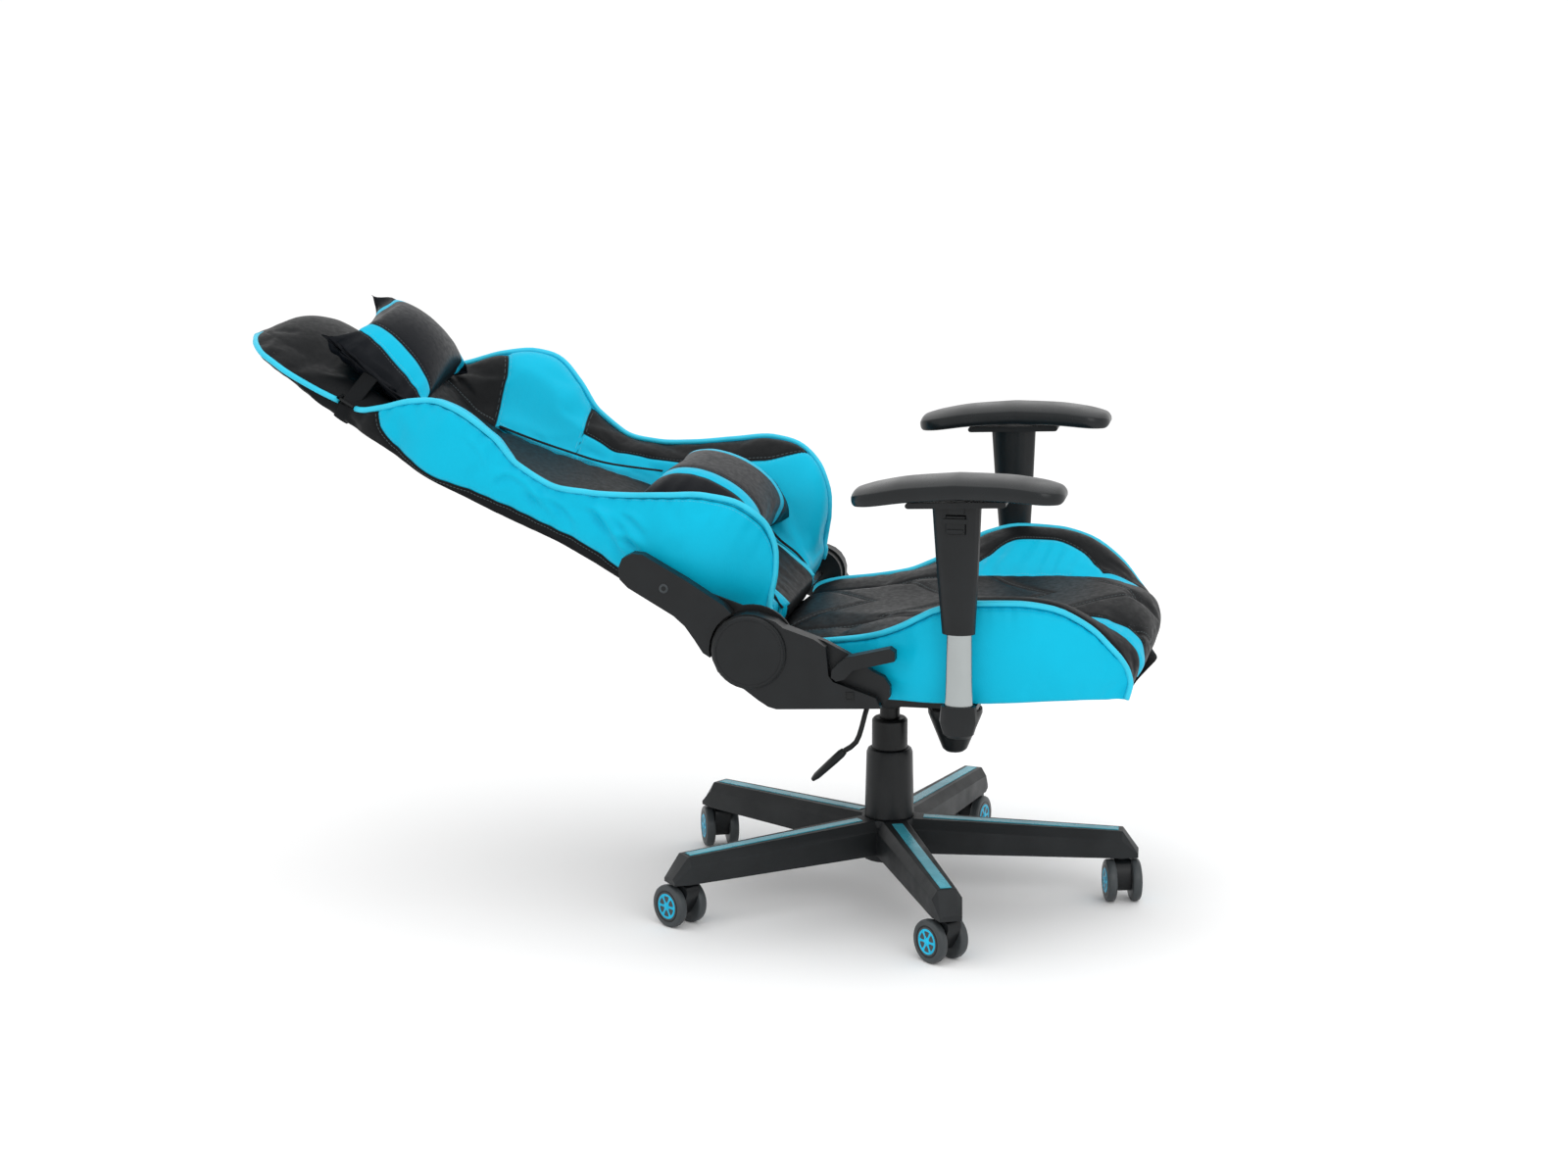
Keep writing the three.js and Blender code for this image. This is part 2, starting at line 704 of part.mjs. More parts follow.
function armSleeve(side) {
  const ring = (z, hx, hy, y) => oval(z, hx, hy, ARM_X, y, 20);
  const body = loft(
    [
      ring(SLEEVE_BOTTOM, 15.5, 21.5, ARM_Y + 1),
      ring(520, 16.5, 27, ARM_Y + 3),
      ring(ARM_PLATE_BOTTOM + 3, 17.5, 32, ARM_Y + 5),
    ],
    2,
  );
  const tab = box([ARM_X + 10, ARM_X + 21], [-143, -123], [600, ARM_PLATE_BOTTOM + 2]);
  const hollow = loft(
    [oval(SLEEVE_BOTTOM - 1, 12, 19, ARM_X, ARM_Y), oval(ARM_PLATE_BOTTOM - 8, 12, 19, ARM_X, ARM_Y)],
    2,
  );
  const window = box([ARM_X + 10, ARM_X + 20], [-145, -119], [573, 598]);
  return cut(join(body, armPlate(), tab), hollow, window).scale(side, 1, 1);
}

// The button that frees an armrest's height, with two ribs for the finger.
const armButton = (side) =>
  join(
    box([ARM_X + 13.5, ARM_X + 20.5], [-144, -120], [574, 597]),
    box([ARM_X + 20, ARM_X + 23.5], [-147.5, -116.5], [588, 594]),
    box([ARM_X + 20, ARM_X + 22.5], [-142.5, -121.5], [576, 580]),
  ).scale(side, 1, 1);

// The pad arches along its length, and both its ends are blunt.
function armPad(side) {
  const outline = smooth([
    [3, 620], [-2, 627], [-14, 632], [-35, 638.5], [-72, 644.5], [-134, 648.4], [-196, 644.5],
    [-233, 638.5], [-254, 632], [-266, 627], [-271, 620], [-267, 614.5], [-256, 612.5],
    [-226, 614.5], [-134, 618], [-42, 614.5], [-12, 612.5], [-1, 614.5],
  ], 48);
  const bar = across(outline, ARM_X - PAD_HALF_WIDTH, ARM_X + PAD_HALF_WIDTH);
  const [front, rear, radius] = [-272, 4, 34];
  const corner = (x, y, from) =>
    steps(from, from + 90, 5).map((angle) => {
      const t = THREE.MathUtils.degToRad(angle);
      return [ARM_X + x + radius * Math.cos(t), y + radius * Math.sin(t)];
    });
  const reach = PAD_HALF_WIDTH - radius;
  const plan = [
    ...corner(reach, rear - radius, 0),
    ...corner(-reach, rear - radius, 90),
    ...corner(-reach, front + radius, 180),
    ...corner(reach, front + radius, 270),
  ];
  const block = new THREE.ExtrudeGeometry(toShape(plan), { depth: 60, bevelEnabled: false });
  const rounded = toSolid(bar).intersect(toSolid(block.translate(0, 0, 600)));
  const room = box([ARM_X - 29, ARM_X + 29], [-198, -67], [590, ARM_PLATE_TOP + GAP]);
  return leaning(cut(fromSolid(rounded), room)).scale(side, 1, 1);
}

function addArmrests(chair) {
  for (const [name, side] of SIDES) {
    part(chair, `armrest_bracket_${name}`, armBracket(side), BLACK_STEEL);
    part(chair, `armrest_cup_${name}`, armCup(side), BLACK_PLASTIC);
    part(chair, `armrest_tube_${name}`, armTube(side), CHROME);
    part(chair, `armrest_sleeve_${name}`, armSleeve(side), BLACK_PLASTIC);
    part(chair, `armrest_pad_${name}`, armPad(side), PAD_RUBBER);
    part(chair, `armrest_button_${name}`, armButton(side), BLACK_PLASTIC);
  }
}

// ---- Backrest, in a frame that leans with it: y runs up the back from the pivot, z to its front --

const backRear = profile([
  [BACK_BOTTOM, -14], [100, -18], [200, -24], [340, -31], [480, -40], [620, -46], [700, -50],
  [750, -49], [790, -47], [BACK_TOP, -44],
]);
const backCrown = profile([
  [BACK_BOTTOM, 4], [150, 10], [330, 18], [480, 22], [600, 14], [720, 4], [BACK_TOP, 1],
]);
const backFront = profile([
  [MIDDLE_BOTTOM, 28], [BACK_BOTTOM, 33], [60, 38], [120, 38], [200, 24], [263, 10], [300, 2],
  [352, -11], [411, -24], [470, -33], [515, -34], [560, -24], [HEAD_BOTTOM, -13], [650, -3],
  [760, -2], [790, -12], [BACK_TOP, -37],
]);
const wingTop = profile([
  [BACK_BOTTOM, 48], [27, 89], [48, 123], [82, 146], [112, 151], [155, 139], [201, 109],
  [248, 77], [296, 50], [345, 34], [392, 38], [439, 57], [487, 67], [518, 61], [557, 36],
  [HEAD_BOTTOM - 1, 2],
]);
const wingHalf = profile([
  [BACK_BOTTOM, 208], [36, 203], [57, 205], [97, 223], [155, 236], [201, 226], [248, 213],
  [296, 206], [366, 220], [425, 234], [487, 256], [545, 232], [HEAD_BOTTOM - 1, 214],
]);
const headHalf = profile([
  [HEAD_BOTTOM, 176], [650, 166], [730, HEAD_HALF], [780, 154], [808, 118], [BACK_TOP, 70],
]);

const COVER_SHEET = 4; // thickness of the rear cover
const FRAME_BAR = 6; // radius of the steel frame's bars
const FOAM_LIFT = 18; // from the rear face to the foam: the rear cover and the frame lie between
const MIDDLE_FOAM = 12; // least thickness of the foam in the middle
const railX = profile([[22, 165], [560, 165], [680, 142], [770, 140]]);

const frameLine = (u) => backRear(u) + COVER_SHEET + FRAME_BAR + 0.8;

// The side rails run inside the wings, so the thin middle panel stays clear of them.
function backFrame() {
  const rail = (side) =>
    bar(steps(22, 770, 10).map((u) => [side * railX(u), u, frameLine(u)]), FRAME_BAR, 12);
  const rung = (u, reach) => rod(FRAME_BAR - 1, -reach, reach, u, frameLine(u), 8);
  const rungs = [762, 300, 40].map((u) => rung(u, railX(u)));
  return join(rail(-1), rail(1), rung(150, ARM_PLATE_X - GAP), ...rungs);
}

function rearCover() {
  const half = (u) => (u < HEAD_BOTTOM ? wingHalf(u) - 6 : headHalf(u) - 4);
  const us = [...steps(BACK_BOTTOM, HEAD_BOTTOM - 12, 14), ...steps(HEAD_BOTTOM + 8, BACK_TOP - 4, 8)];
  const rings = us.map((u) => {
    const across = steps(-1, 1, 8).map((t) => [
      t * half(u),
      u,
      backRear(u) - backCrown(u) * (1 - t * t) ** 2,
    ]);
    const inside = across.map(([x, , w]) => [x, u, w + COVER_SHEET]).reverse();
    return [...across, ...inside];
  });
  return loft(rings, 1);
}

const foamLow = (u) => Math.min(backRear(u) + FOAM_LIFT, backFront(u) - MIDDLE_FOAM);

// Its bottom edge hangs in front of the cross shaft.
function backCushion() {
  const us = [...steps(MIDDLE_BOTTOM, 9, 3), ...steps(BACK_BOTTOM, HEAD_BOTTOM - GAP, 18)];
  const rings = us.map((u) => {
    const top = backFront(u);
    const low = u < BACK_BOTTOM ? SHAFT_RADIUS + 6 : foamLow(u);
    const edge = low + 0.6 * (top - low);
    return [
      [-BACK_HALF, u, low],
      [BACK_HALF, u, low],
      [BACK_HALF, u, edge],
      [BACK_HALF - 14, u, top],
      [14 - BACK_HALF, u, top],
      [-BACK_HALF, u, edge],
    ];
  });
  return loft(rings, 1);
}

function headCushion() {
  const rings = steps(HEAD_BOTTOM, BACK_TOP, 12).map((u) => {
    const [half, top] = [headHalf(u), backFront(u)];
    const low = Math.min(backRear(u) + FOAM_LIFT, top - 4);
    return [
      [-half, u, low],
      [half, u, low],
      [half, u, low + 0.5 * (top - low)],
      [half - 12, u, top],
      [12 - half, u, top],
      [-half, u, low + 0.5 * (top - low)],
    ];
  });
  return loft(rings, 1);
}

function backWing(side) {
  const rings = steps(BACK_BOTTOM, HEAD_BOTTOM - 1, 26).map((u) => {
    const [half, crest] = [wingHalf(u), wingTop(u)];
    const low = backRear(u) + FOAM_LIFT;
    const inner = foamLow(u) + 0.6 * (backFront(u) - foamLow(u));
    const top = Math.max(crest, low + 6);
    return [
      [BACK_HALF + GAP, u, foamLow(u)],
      [BACK_HALF + GAP, u, inner],
      [half - 44, u, inner + 0.72 * (top - inner)],
      [half - 18, u, top],
      [half - 3, u, top - 4],
      [half + 1, u, low + 0.4 * (top - low)],
      [half - 4, u, low],
      [railX(u) - 10, u, low],
    ];
  });
  return loft(rings, 1).scale(side, 1, 1);
}

function backArm(side) {
  const plateOut = ARM_PLATE_X + PLATE_THICKNESS;
  const reach = discRadius(side) + (side < 0 ? 7 : 2);
  const disc = rod(reach, ARM_PLATE_X, plateOut, 0, 0, 36);
  const blade = across(
    [[0, 8 - reach], [60, -28], [100, -10], [188, -10], [198, 2], [190, 26], [100, 30],
      [30, reach - 14]],
    ARM_PLATE_X,
    plateOut,
  );
  const hole = rod(SHAFT_RADIUS + GAP, 200, 260, 0, 0);
  return cut(join(disc, blade), hole).scale(side, 1, 1);
}

function upperCover(side) {
  const joint = discRadius(side) + 3.5; // the cover's lower end follows the disc
  const end = steps(33, -42, 6).map((angle) => {
    const t = THREE.MathUtils.degToRad(angle);
    return [joint * Math.cos(t), joint * Math.sin(t)];
  });
  const outline = [
    ...end,
    [52, -36], [70, -27], [90, -18], [110, -14], [180, -14], [195, -10], [204, 2], [206, 16],
    [198, 29], [185, 35], [119, 36], [60, 34],
  ];
  const shell = across(outline, COVER_X, UPPER_COVER_OUT);
  const hollow = across(inset(outline, COVER_WALL), COVER_X - 1, UPPER_COVER_OUT - COVER_WALL);
  return cut(shell, hollow).scale(side, 1, 1);
}

const cushionBall = (halfX, halfU, halfW, u, w) =>
  new THREE.SphereGeometry(1, 16, 10).scale(halfX, halfU, halfW).translate(0, u, w);

function addBackrest(chair) {
  const back = new THREE.Group();
  back.position.set(0, PIVOT.y, PIVOT.z);
  back.rotation.x = THREE.MathUtils.degToRad(BACK_ANGLE);
  part(back, "back_frame", backFrame(), BLACK_STEEL);
  part(back, "rear_cover", rearCover(), BLACK_LEATHER);
  part(back, "back_cushion", backCushion(), BLACK_LEATHER);
  part(back, "head_cushion", headCushion(), BLACK_LEATHER);
  for (const [name, side] of SIDES) {
    part(back, `back_wing_${name}`, backWing(side), BLUE_LEATHER);
    part(back, `back_arm_${name}`, backArm(side), BLACK_STEEL);
    part(back, `upper_cover_${name}`, upperCover(side), BLACK_PLASTIC);
  }
  part(back, "neck_pillow", cushionBall(146, 88, 27, 658, 36), BLACK_LEATHER);
  part(back, "lumbar_cushion", cushionBall(146, 88, 51, 155, 101), BLACK_LEATHER);
  chair.add(back);
}

// ---- The chair ----------------------------------------------------------------------------------

const chair = new THREE.Group();
chair.position.y = COLUMN_Y;
part(chair, "star_base", starBase(), BASE_NYLON);
part(chair, "gas_cylinder", gasCylinder(), BLACK_STEEL);
part(chair, "column_cover", columnCover(), BLACK_PLASTIC);
addCasters(chair);
addMechanism(chair);
addSeat(chair);
addRecliner(chair);
addArmrests(chair);
addBackrest(chair);

export default chair;
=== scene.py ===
"""Looks for a reclining racing-style office chair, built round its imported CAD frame.

Lengths in the shape functions are millimetres. BACK and SEAT turn them into the row frame's metres:
BACK has x to the sitter's left, u up the backrest from its pivot and w out of its front;
SEAT has x to the left, y to the rear and z up from the seat's underside.
"""

import json
import math

import bmesh
import bpy
import numpy as np
from mathutils import Matrix, Vector


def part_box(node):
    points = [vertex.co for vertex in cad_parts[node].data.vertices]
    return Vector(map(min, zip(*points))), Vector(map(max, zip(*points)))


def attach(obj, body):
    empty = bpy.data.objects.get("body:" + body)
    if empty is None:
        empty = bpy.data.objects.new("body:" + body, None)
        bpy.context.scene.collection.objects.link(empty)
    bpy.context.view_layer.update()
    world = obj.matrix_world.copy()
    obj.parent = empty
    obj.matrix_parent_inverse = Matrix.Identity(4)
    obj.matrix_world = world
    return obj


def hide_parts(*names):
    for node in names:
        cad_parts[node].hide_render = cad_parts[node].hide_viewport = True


# ---- Camera and frame ----

CAMERA_AT = Vector((-4.4625, -0.9454, 1.4028))
CAMERA_TARGET = Vector((0.0, -0.1134, 0.4267))
CAMERA_LENS = 77.3
CAMERA_SHIFT = -0.0065

MM = 0.001
BACK_LEAN = 30  # degrees, as is the seat's tilt
SEAT_TILT = -2.4
SEAT_BASE = 0.334
RIGHT_AND_LEFT = (("right", -1), ("left", 1))


def linked(name, data):
    """A new object in the scene."""
    thing = bpy.data.objects.new(name, data)
    bpy.context.scene.collection.objects.link(thing)
    return thing


def aimed(name, data, at, target):
    """A camera or a light at one place that looks at another."""
    thing = linked(name, data)
    thing.location = at
    thing.rotation_euler = (Vector(target) - Vector(at)).to_track_quat("-Z", "Y").to_euler()
    return thing


def make_camera():
    data = bpy.data.cameras.new("camera")
    data.sensor_width = 36
    data.lens = CAMERA_LENS
    data.shift_x = CAMERA_SHIFT
    bpy.context.scene.camera = aimed("camera", data, CAMERA_AT, CAMERA_TARGET)


make_camera()
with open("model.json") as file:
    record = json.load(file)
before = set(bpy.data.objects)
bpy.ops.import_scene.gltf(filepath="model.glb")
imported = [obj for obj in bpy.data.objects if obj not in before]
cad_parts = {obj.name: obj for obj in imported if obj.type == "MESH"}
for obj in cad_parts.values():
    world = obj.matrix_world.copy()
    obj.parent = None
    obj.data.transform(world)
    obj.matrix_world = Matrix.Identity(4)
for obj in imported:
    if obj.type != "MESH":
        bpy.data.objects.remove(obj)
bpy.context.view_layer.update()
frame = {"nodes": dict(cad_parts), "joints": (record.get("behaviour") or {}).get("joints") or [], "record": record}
NODES = frame["nodes"]
BODY_OF = {
    node: body
    for body, nodes in frame["record"]["behaviour"]["bodies"].items()
    for node in nodes
}


def turned(degrees, axis):
    return Matrix.Rotation(math.radians(degrees), 4, axis)


def placed(at, turn):
    """Turns a shape drawn in millimetres and sets it at a place in the row frame."""
    return Matrix.Translation(at) @ turn @ Matrix.Scale(MM, 4)


def middle(node):
    low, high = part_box(node)
    return (low + high) / 2


PIVOT = Vector(next(j for j in frame["joints"] if j["name"] == "back_recline")["pos_m"])
COLUMN = middle("gas_cylinder")
BACK = placed(PIVOT, turned(BACK_LEAN, "X"))
SEAT = placed((0, COLUMN.y, SEAT_BASE), turned(SEAT_TILT, "X"))

# ---- Shape tools ----


def profile(*pairs):
    """A smooth curve through (station, value) pairs that doesn't overshoot, as a function."""
    at, value = np.array(sorted(pairs), float).T
    step = np.diff(at)
    slope = np.diff(value) / step
    tangent = np.zeros_like(value)
    same_way = slope[1:] * slope[:-1] > 0
    total = np.where(same_way, slope[1:] + slope[:-1], 1)
    tangent[1:-1] = np.where(same_way, 2 * slope[1:] * slope[:-1] / total, 0)
    tangent[[0, -1]] = slope[[0, -1]]

    def curve(x):
        x = np.clip(np.asarray(x, float), at[0], at[-1])
        i = np.clip(np.searchsorted(at, x) - 1, 0, len(at) - 2)
        h = step[i]
        t = (x - at[i]) / h
        return (
            (2 * t**3 - 3 * t**2 + 1) * value[i]
            + (t**3 - 2 * t**2 + t) * h * tangent[i]
            + (3 * t**2 - 2 * t**3) * value[i + 1]
            + (t**3 - t**2) * h * tangent[i + 1]
        )

    return curve


def ease(t):
    t = np.clip(t, 0, 1)
    return t * t * (3 - 2 * t)


def bezier(a, b, c, d, t):
    s = 1 - t
    return s**3 * a + 3 * s**2 * t * b + 3 * s * t**2 * c + t**3 * d


def hump(x, width):
    return np.exp(-((x / width) ** 2))


def mesh_object(name, verts, faces, matrix=None, smooth=True):
    mesh = bpy.data.meshes.new(name)
    mesh.from_pydata([tuple(v) for v in verts], [], [tuple(f) for f in faces])
    if matrix is not None:
        mesh.transform(matrix)
    build = bmesh.new()
    build.from_mesh(mesh)
    bmesh.ops.recalc_face_normals(build, faces=build.faces)
    build.to_mesh(mesh)
    build.free()
    mesh.polygons.foreach_set("use_smooth", [smooth] * len(mesh.polygons))
    return linked(name, mesh)


def ring_faces(stations, count):
    """Quads between rings, and a fan at each end round a last two vertices."""
    faces = []
    for s in range(stations - 1):
        for i in range(count):
            a, b = s * count + i, s * count + (i + 1) % count
            faces.append((a, b, b + count, a + count))
    for ring, centre in ((0, stations * count), (stations - 1, stations * count + 1)):
        for i in range(count):
            faces.append((ring * count + i, ring * count + (i + 1) % count, centre))
    return faces


SQUARE = ((-1, -1), (1, -1), (1, 1), (-1, 1))


def prism(name, rings, matrix):
    """A closed body with flat sides through rings, which are lists of points, as many in each."""
    count = len(rings[0])
    last = (len(rings) - 1) * count
    faces = [
        (a + i, a + (i + 1) % count, a + (i + 1) % count + count, a + i + count)
        for a in range(0, last, count)
        for i in range(count)
    ]
    faces += [tuple(range(count)), tuple(range(last, last + count))]
    points = [point for ring in rings for point in ring]
    return mesh_object(name, points, faces, matrix, smooth=False)


def skin(name, rings, matrix, **values):
    """A closed body through rings, an array of stations x points x 3. Each value is an array of
    stations x points, kept on the mesh as a float attribute."""
    stations, count = rings.shape[:2]
    ends = rings[[0, -1]].mean(axis=1)
    verts = np.vstack([rings.reshape(-1, 3), ends])
    piece = mesh_object(name, verts, ring_faces(stations, count), matrix)
    for key, value in values.items():
        write_attribute(piece, key, np.append(value.ravel(), value[[0, -1]].mean(axis=1)))
    return piece


def write_attribute(piece, key, value):
    layers = piece.data.attributes
    layer = layers.get(key) or layers.new(key, "FLOAT", "POINT")
    layer.data.foreach_set("value", np.asarray(value, np.float32))


def read_attribute(piece, key):
    value = np.zeros(len(piece.data.vertices), np.float32)
    piece.data.attributes[key].data.foreach_get("value", value)
    return value.astype(float)


def read_vectors(items, key):
    values = np.zeros(len(items) * 3, np.float32)
    items.foreach_get(key, values)
    return values.reshape(-1, 3).astype(float)


def points_of(piece):
    return read_vectors(piece.data.vertices, "co")


def move_points(piece, points):
    piece.data.vertices.foreach_set("co", points.astype(np.float32).ravel())
    piece.data.update()


def push(piece, millimetres):
    """Moves each point along its normal."""
    normals = read_vectors(piece.data.vertex_normals, "vector")
    move_points(piece, points_of(piece) + normals * millimetres[:, None] * MM)


def settle(piece):
    """Applies the piece's modifiers."""
    graph = bpy.context.evaluated_depsgraph_get()
    graph.update()
    mesh = bpy.data.meshes.new_from_object(piece.evaluated_get(graph))
    piece.modifiers.clear()
    piece.data = mesh


def subdivide(piece):
    piece.modifiers.new("smooth", "SUBSURF").levels = 1
    settle(piece)
    piece.data.polygons.foreach_set("use_smooth", [True] * len(piece.data.polygons))


CLOTH_FRAMES = 20
CLOTH = {
    "quality": 5,
    "mass": 0.3,
    "tension_stiffness": 20,
    "compression_stiffness": 20,
    "shear_stiffness": 8,
    "bending_stiffness": 0.6,
    "use_pressure": True,
}


def plump(piece, held, cap, grow, pressure=4.0):
    """Blows a cover up over its filling with a short cloth simulation, held at the points where
    the mask is true, and lets no point move further than cap millimetres."""
    rest = points_of(piece)
    cloth = piece.modifiers.new("cloth", "CLOTH")
    settings = cloth.settings
    for key, value in CLOTH.items():
        setattr(settings, key, value)
    settings.uniform_pressure_force = pressure
    settings.shrink_min = -grow
    settings.effector_weights.gravity = 0
    if held.any():
        group = piece.vertex_groups.new(name="held")
        group.add([int(i) for i in np.flatnonzero(held)], 1.0, "REPLACE")
        settings.vertex_group_mass = "held"
    cloth.point_cache.frame_start = 1
    cloth.point_cache.frame_end = CLOTH_FRAMES
    scene = bpy.context.scene
    for number in range(1, CLOTH_FRAMES + 1):
        scene.frame_set(number)
    settle(piece)
    scene.frame_set(1)
    moved = points_of(piece) - rest
    length = np.linalg.norm(moved, axis=1)[:, None]
    move_points(piece, rest + moved * np.minimum(1, cap * MM / np.maximum(length, 1e-9)))


def sweep(name, path, radius, sides, flat=1.0, up=(1, 0, 0)):
    """A tube along a path, an array of points in metres. flat under 1 squeezes it to a ribbon
    whose width lies across the up direction, one for the whole path or one for each point."""
    path = np.asarray(path, float)
    along = np.gradient(path, axis=0)
    along /= np.linalg.norm(along, axis=1)[:, None]
    side = np.cross(along, np.asarray(up, float))
    side /= np.maximum(np.linalg.norm(side, axis=1)[:, None], 1e-9)
    lift = np.cross(side, along)
    angle = np.linspace(0, 2 * math.pi, sides, endpoint=False)
    rings = (
        path[:, None]
        + side[:, None] * (radius * np.cos(angle))[None, :, None]
        + lift[:, None] * (radius * flat * np.sin(angle))[None, :, None]
    )
    return skin(name, rings, None)


def lathe(name, outline, matrix, sides=48):
    """A body from (radius, height) pairs turned about the matrix's Z."""
    angle = np.linspace(0, 2 * math.pi, sides, endpoint=False)
    outline = np.array(outline, float)
    rings = np.stack(
        [
            outline[:, :1] * np.cos(angle),
            outline[:, :1] * np.sin(angle),
            np.repeat(outline[:, 1:], sides, axis=1),
        ],
        axis=2,
    )
    return skin(name, rings, matrix)


def joined(name, pieces):
    """One object from several."""
    build = bmesh.new()
    for piece in pieces:
        build.from_mesh(piece.data)
        bpy.data.objects.remove(piece)
    mesh = bpy.data.meshes.new(name)
    build.to_mesh(mesh)
    build.free()
    return linked(name, mesh)


def finish_with(piece, material):
    piece.data.materials.clear()
    piece.data.materials.append(material)
    return piece


# ---- Materials ----


class Nodes:
    """A material's node tree, with a short way to add and join nodes."""

    def __init__(self, name, roughness, metallic=0.0, specular=0.28):
        self.material = bpy.data.materials.new(name)
        self.material.use_nodes = True
        self.tree = self.material.node_tree
        self.shader = self.tree.nodes["Principled BSDF"]
        self.set("Roughness", roughness)
        self.set("Metallic", metallic)
        self.set("Specular IOR Level", specular)

    def add(self, kind, *links, **settings):
        """A node. links are (input, value or socket) pairs and settings are its properties."""
        node = self.tree.nodes.new(kind)
        for key, value in settings.items():
            setattr(node, key, value)
        for key, value in links:
            self.feed(node.inputs[key], value)
        return node

    def feed(self, socket, value):
        """Joins a socket to another one, or gives it a value."""
        if isinstance(value, bpy.types.NodeSocket):
            self.tree.links.new(value, socket)
        else:
            socket.default_value = value

    def place(self):
        return self.add("ShaderNodeTexCoord").outputs["Object"]

    def noise(self, scale, detail=3.0):
        node = self.add(
            "ShaderNodeTexNoise", ("Vector", self.place()), ("Scale", scale), ("Detail", detail)
        )
        return node.outputs["Fac"]

    def math(self, operation, a, b=0.0):
        node = self.add("ShaderNodeMath", (0, a), (1, b), operation=operation)
        return node.outputs[0]

    def span(self, value, low, high, to_low=0.0, to_high=1.0):
        keys = ("Value", "From Min", "From Max", "To Min", "To Max")
        node = self.add("ShaderNodeMapRange", *zip(keys, (value, low, high, to_low, to_high)))
        return node.outputs["Result"]

    def mix(self, share, a, b):
        node = self.add("ShaderNodeMix", (0, share), (6, a), (7, b), data_type="RGBA")
        return node.outputs[2]

    def drift(self, share, colour, dark, light):
        """A colour that wanders between a darker and a lighter shade of itself."""
        return self.mix(share, shade(colour, dark), shade(colour, light))

    def grain(self, scale):
        cells = self.add(
            "ShaderNodeTexVoronoi", ("Vector", self.place()), ("Scale", scale), feature="SMOOTH_F1"
        )
        return cells.outputs["Distance"]

    def attribute(self, key):
        return self.add("ShaderNodeAttribute", attribute_name=key).outputs["Fac"]

    def bump(self, height, strength, distance):
        node = self.add(
            "ShaderNodeBump", ("Height", height), ("Strength", strength), ("Distance", distance)
        )
        self.set("Normal", node.outputs["Normal"])

    def set(self, key, value):
        self.feed(self.shader.inputs[key], value)


def shade(hex_colour, factor=1.0):
    """A hexadecimal sRGB colour as linear RGBA."""
    channels = [int(hex_colour[i : i + 2], 16) / 255 for i in (0, 2, 4)]
    linear = [c / 12.92 if c < 0.04045 else ((c + 0.055) / 1.055) ** 2.4 for c in channels]
    return (*[c * factor for c in linear], 1.0)


BLUE = "04AFD0"
LIGHT_BLUE = "2ABEDB"
BLACK = "0D0F11"
STITCH_PITCH = 4.5  # millimetres, as are the two below
STITCH_ROW = 3.6  # from the seam to the row of stitches beside it
SEAM_HALF = 1.4


def leather(name, black=BLACK, roughness=0.46):
    """Smooth coated leather whose panels are blue where the attribute panel is positive. Seams
    run where panel or quilt is zero, with a row of stitches on each side of a panel seam."""
    n = Nodes(name, roughness, specular=0.1)
    panel = n.attribute("panel")
    quilt = n.attribute("quilt")
    along = n.attribute("along")
    patches = n.noise(9.0)
    blue_shade = n.drift(patches, BLUE, 0.9, 1.1)
    black_shade = n.drift(patches, black, 0.7, 1.3)
    colour = n.mix(n.span(panel, -0.4, 0.4), black_shade, blue_shade)
    seam_gap = n.math("MINIMUM", n.math("ABSOLUTE", panel), n.math("ABSOLUTE", quilt))
    seam = n.span(seam_gap, 0.5, SEAM_HALF, 1.0, 0.0)
    colour = n.mix(n.math("MULTIPLY", seam, 0.65), colour, shade(black, 0.35))
    dash = n.math("GREATER_THAN", n.math("FRACT", n.math("DIVIDE", along, STITCH_PITCH)), 0.35)
    row_gap = n.math("ABSOLUTE", n.math("SUBTRACT", seam_gap, STITCH_ROW))
    row = n.span(row_gap, 0.25, 0.5, 1.0, 0.0)
    stitch = n.math("MULTIPLY", dash, row)
    colour = n.mix(n.math("MULTIPLY", stitch, 0.16), colour, shade("9FB4B8"))
    n.set("Base Color", colour)
    crease = n.noise(140.0, 4.0)
    n.set("Roughness", n.span(crease, 0.3, 0.7, roughness - 0.06, roughness + 0.08))
    height = n.math("ADD", n.math("MULTIPLY", n.grain(620.0), 0.5), n.math("MULTIPLY", crease, 0.5))
    height = n.math("SUBTRACT", height, n.math("MULTIPLY", seam, 2.0))
    height = n.math("ADD", height, n.math("MULTIPLY", stitch, 0.8))
    n.bump(height, 0.35, 0.0006)
    return n.material


def plain_leather(name, colour, roughness=0.4):
    """Coated leather of one colour, as on the piping."""
    n = Nodes(name, roughness)
    n.set("Base Color", n.drift(n.noise(30.0), colour, 0.88, 1.12))
    n.set("Roughness", n.span(n.noise(180.0), 0.3, 0.7, roughness - 0.05, roughness + 0.08))
    n.bump(n.grain(700.0), 0.3, 0.0004)
    return n.material


def plastic(name, colour, roughness=0.5, grain_scale=900.0, grain=0.25):
    """Moulded plastic with a fine eroded texture, worn a little lighter and smoother in places."""
    n = Nodes(name, roughness)
    wear = n.noise(24.0, 5.0)
    n.set("Base Color", n.drift(n.span(wear, 0.35, 0.75), colour, 0.85, 1.2))
    n.set("Roughness", n.span(wear, 0.3, 0.7, roughness + 0.06, roughness - 0.07))
    n.bump(n.noise(grain_scale, 2.0), grain, 0.0003)
    return n.material


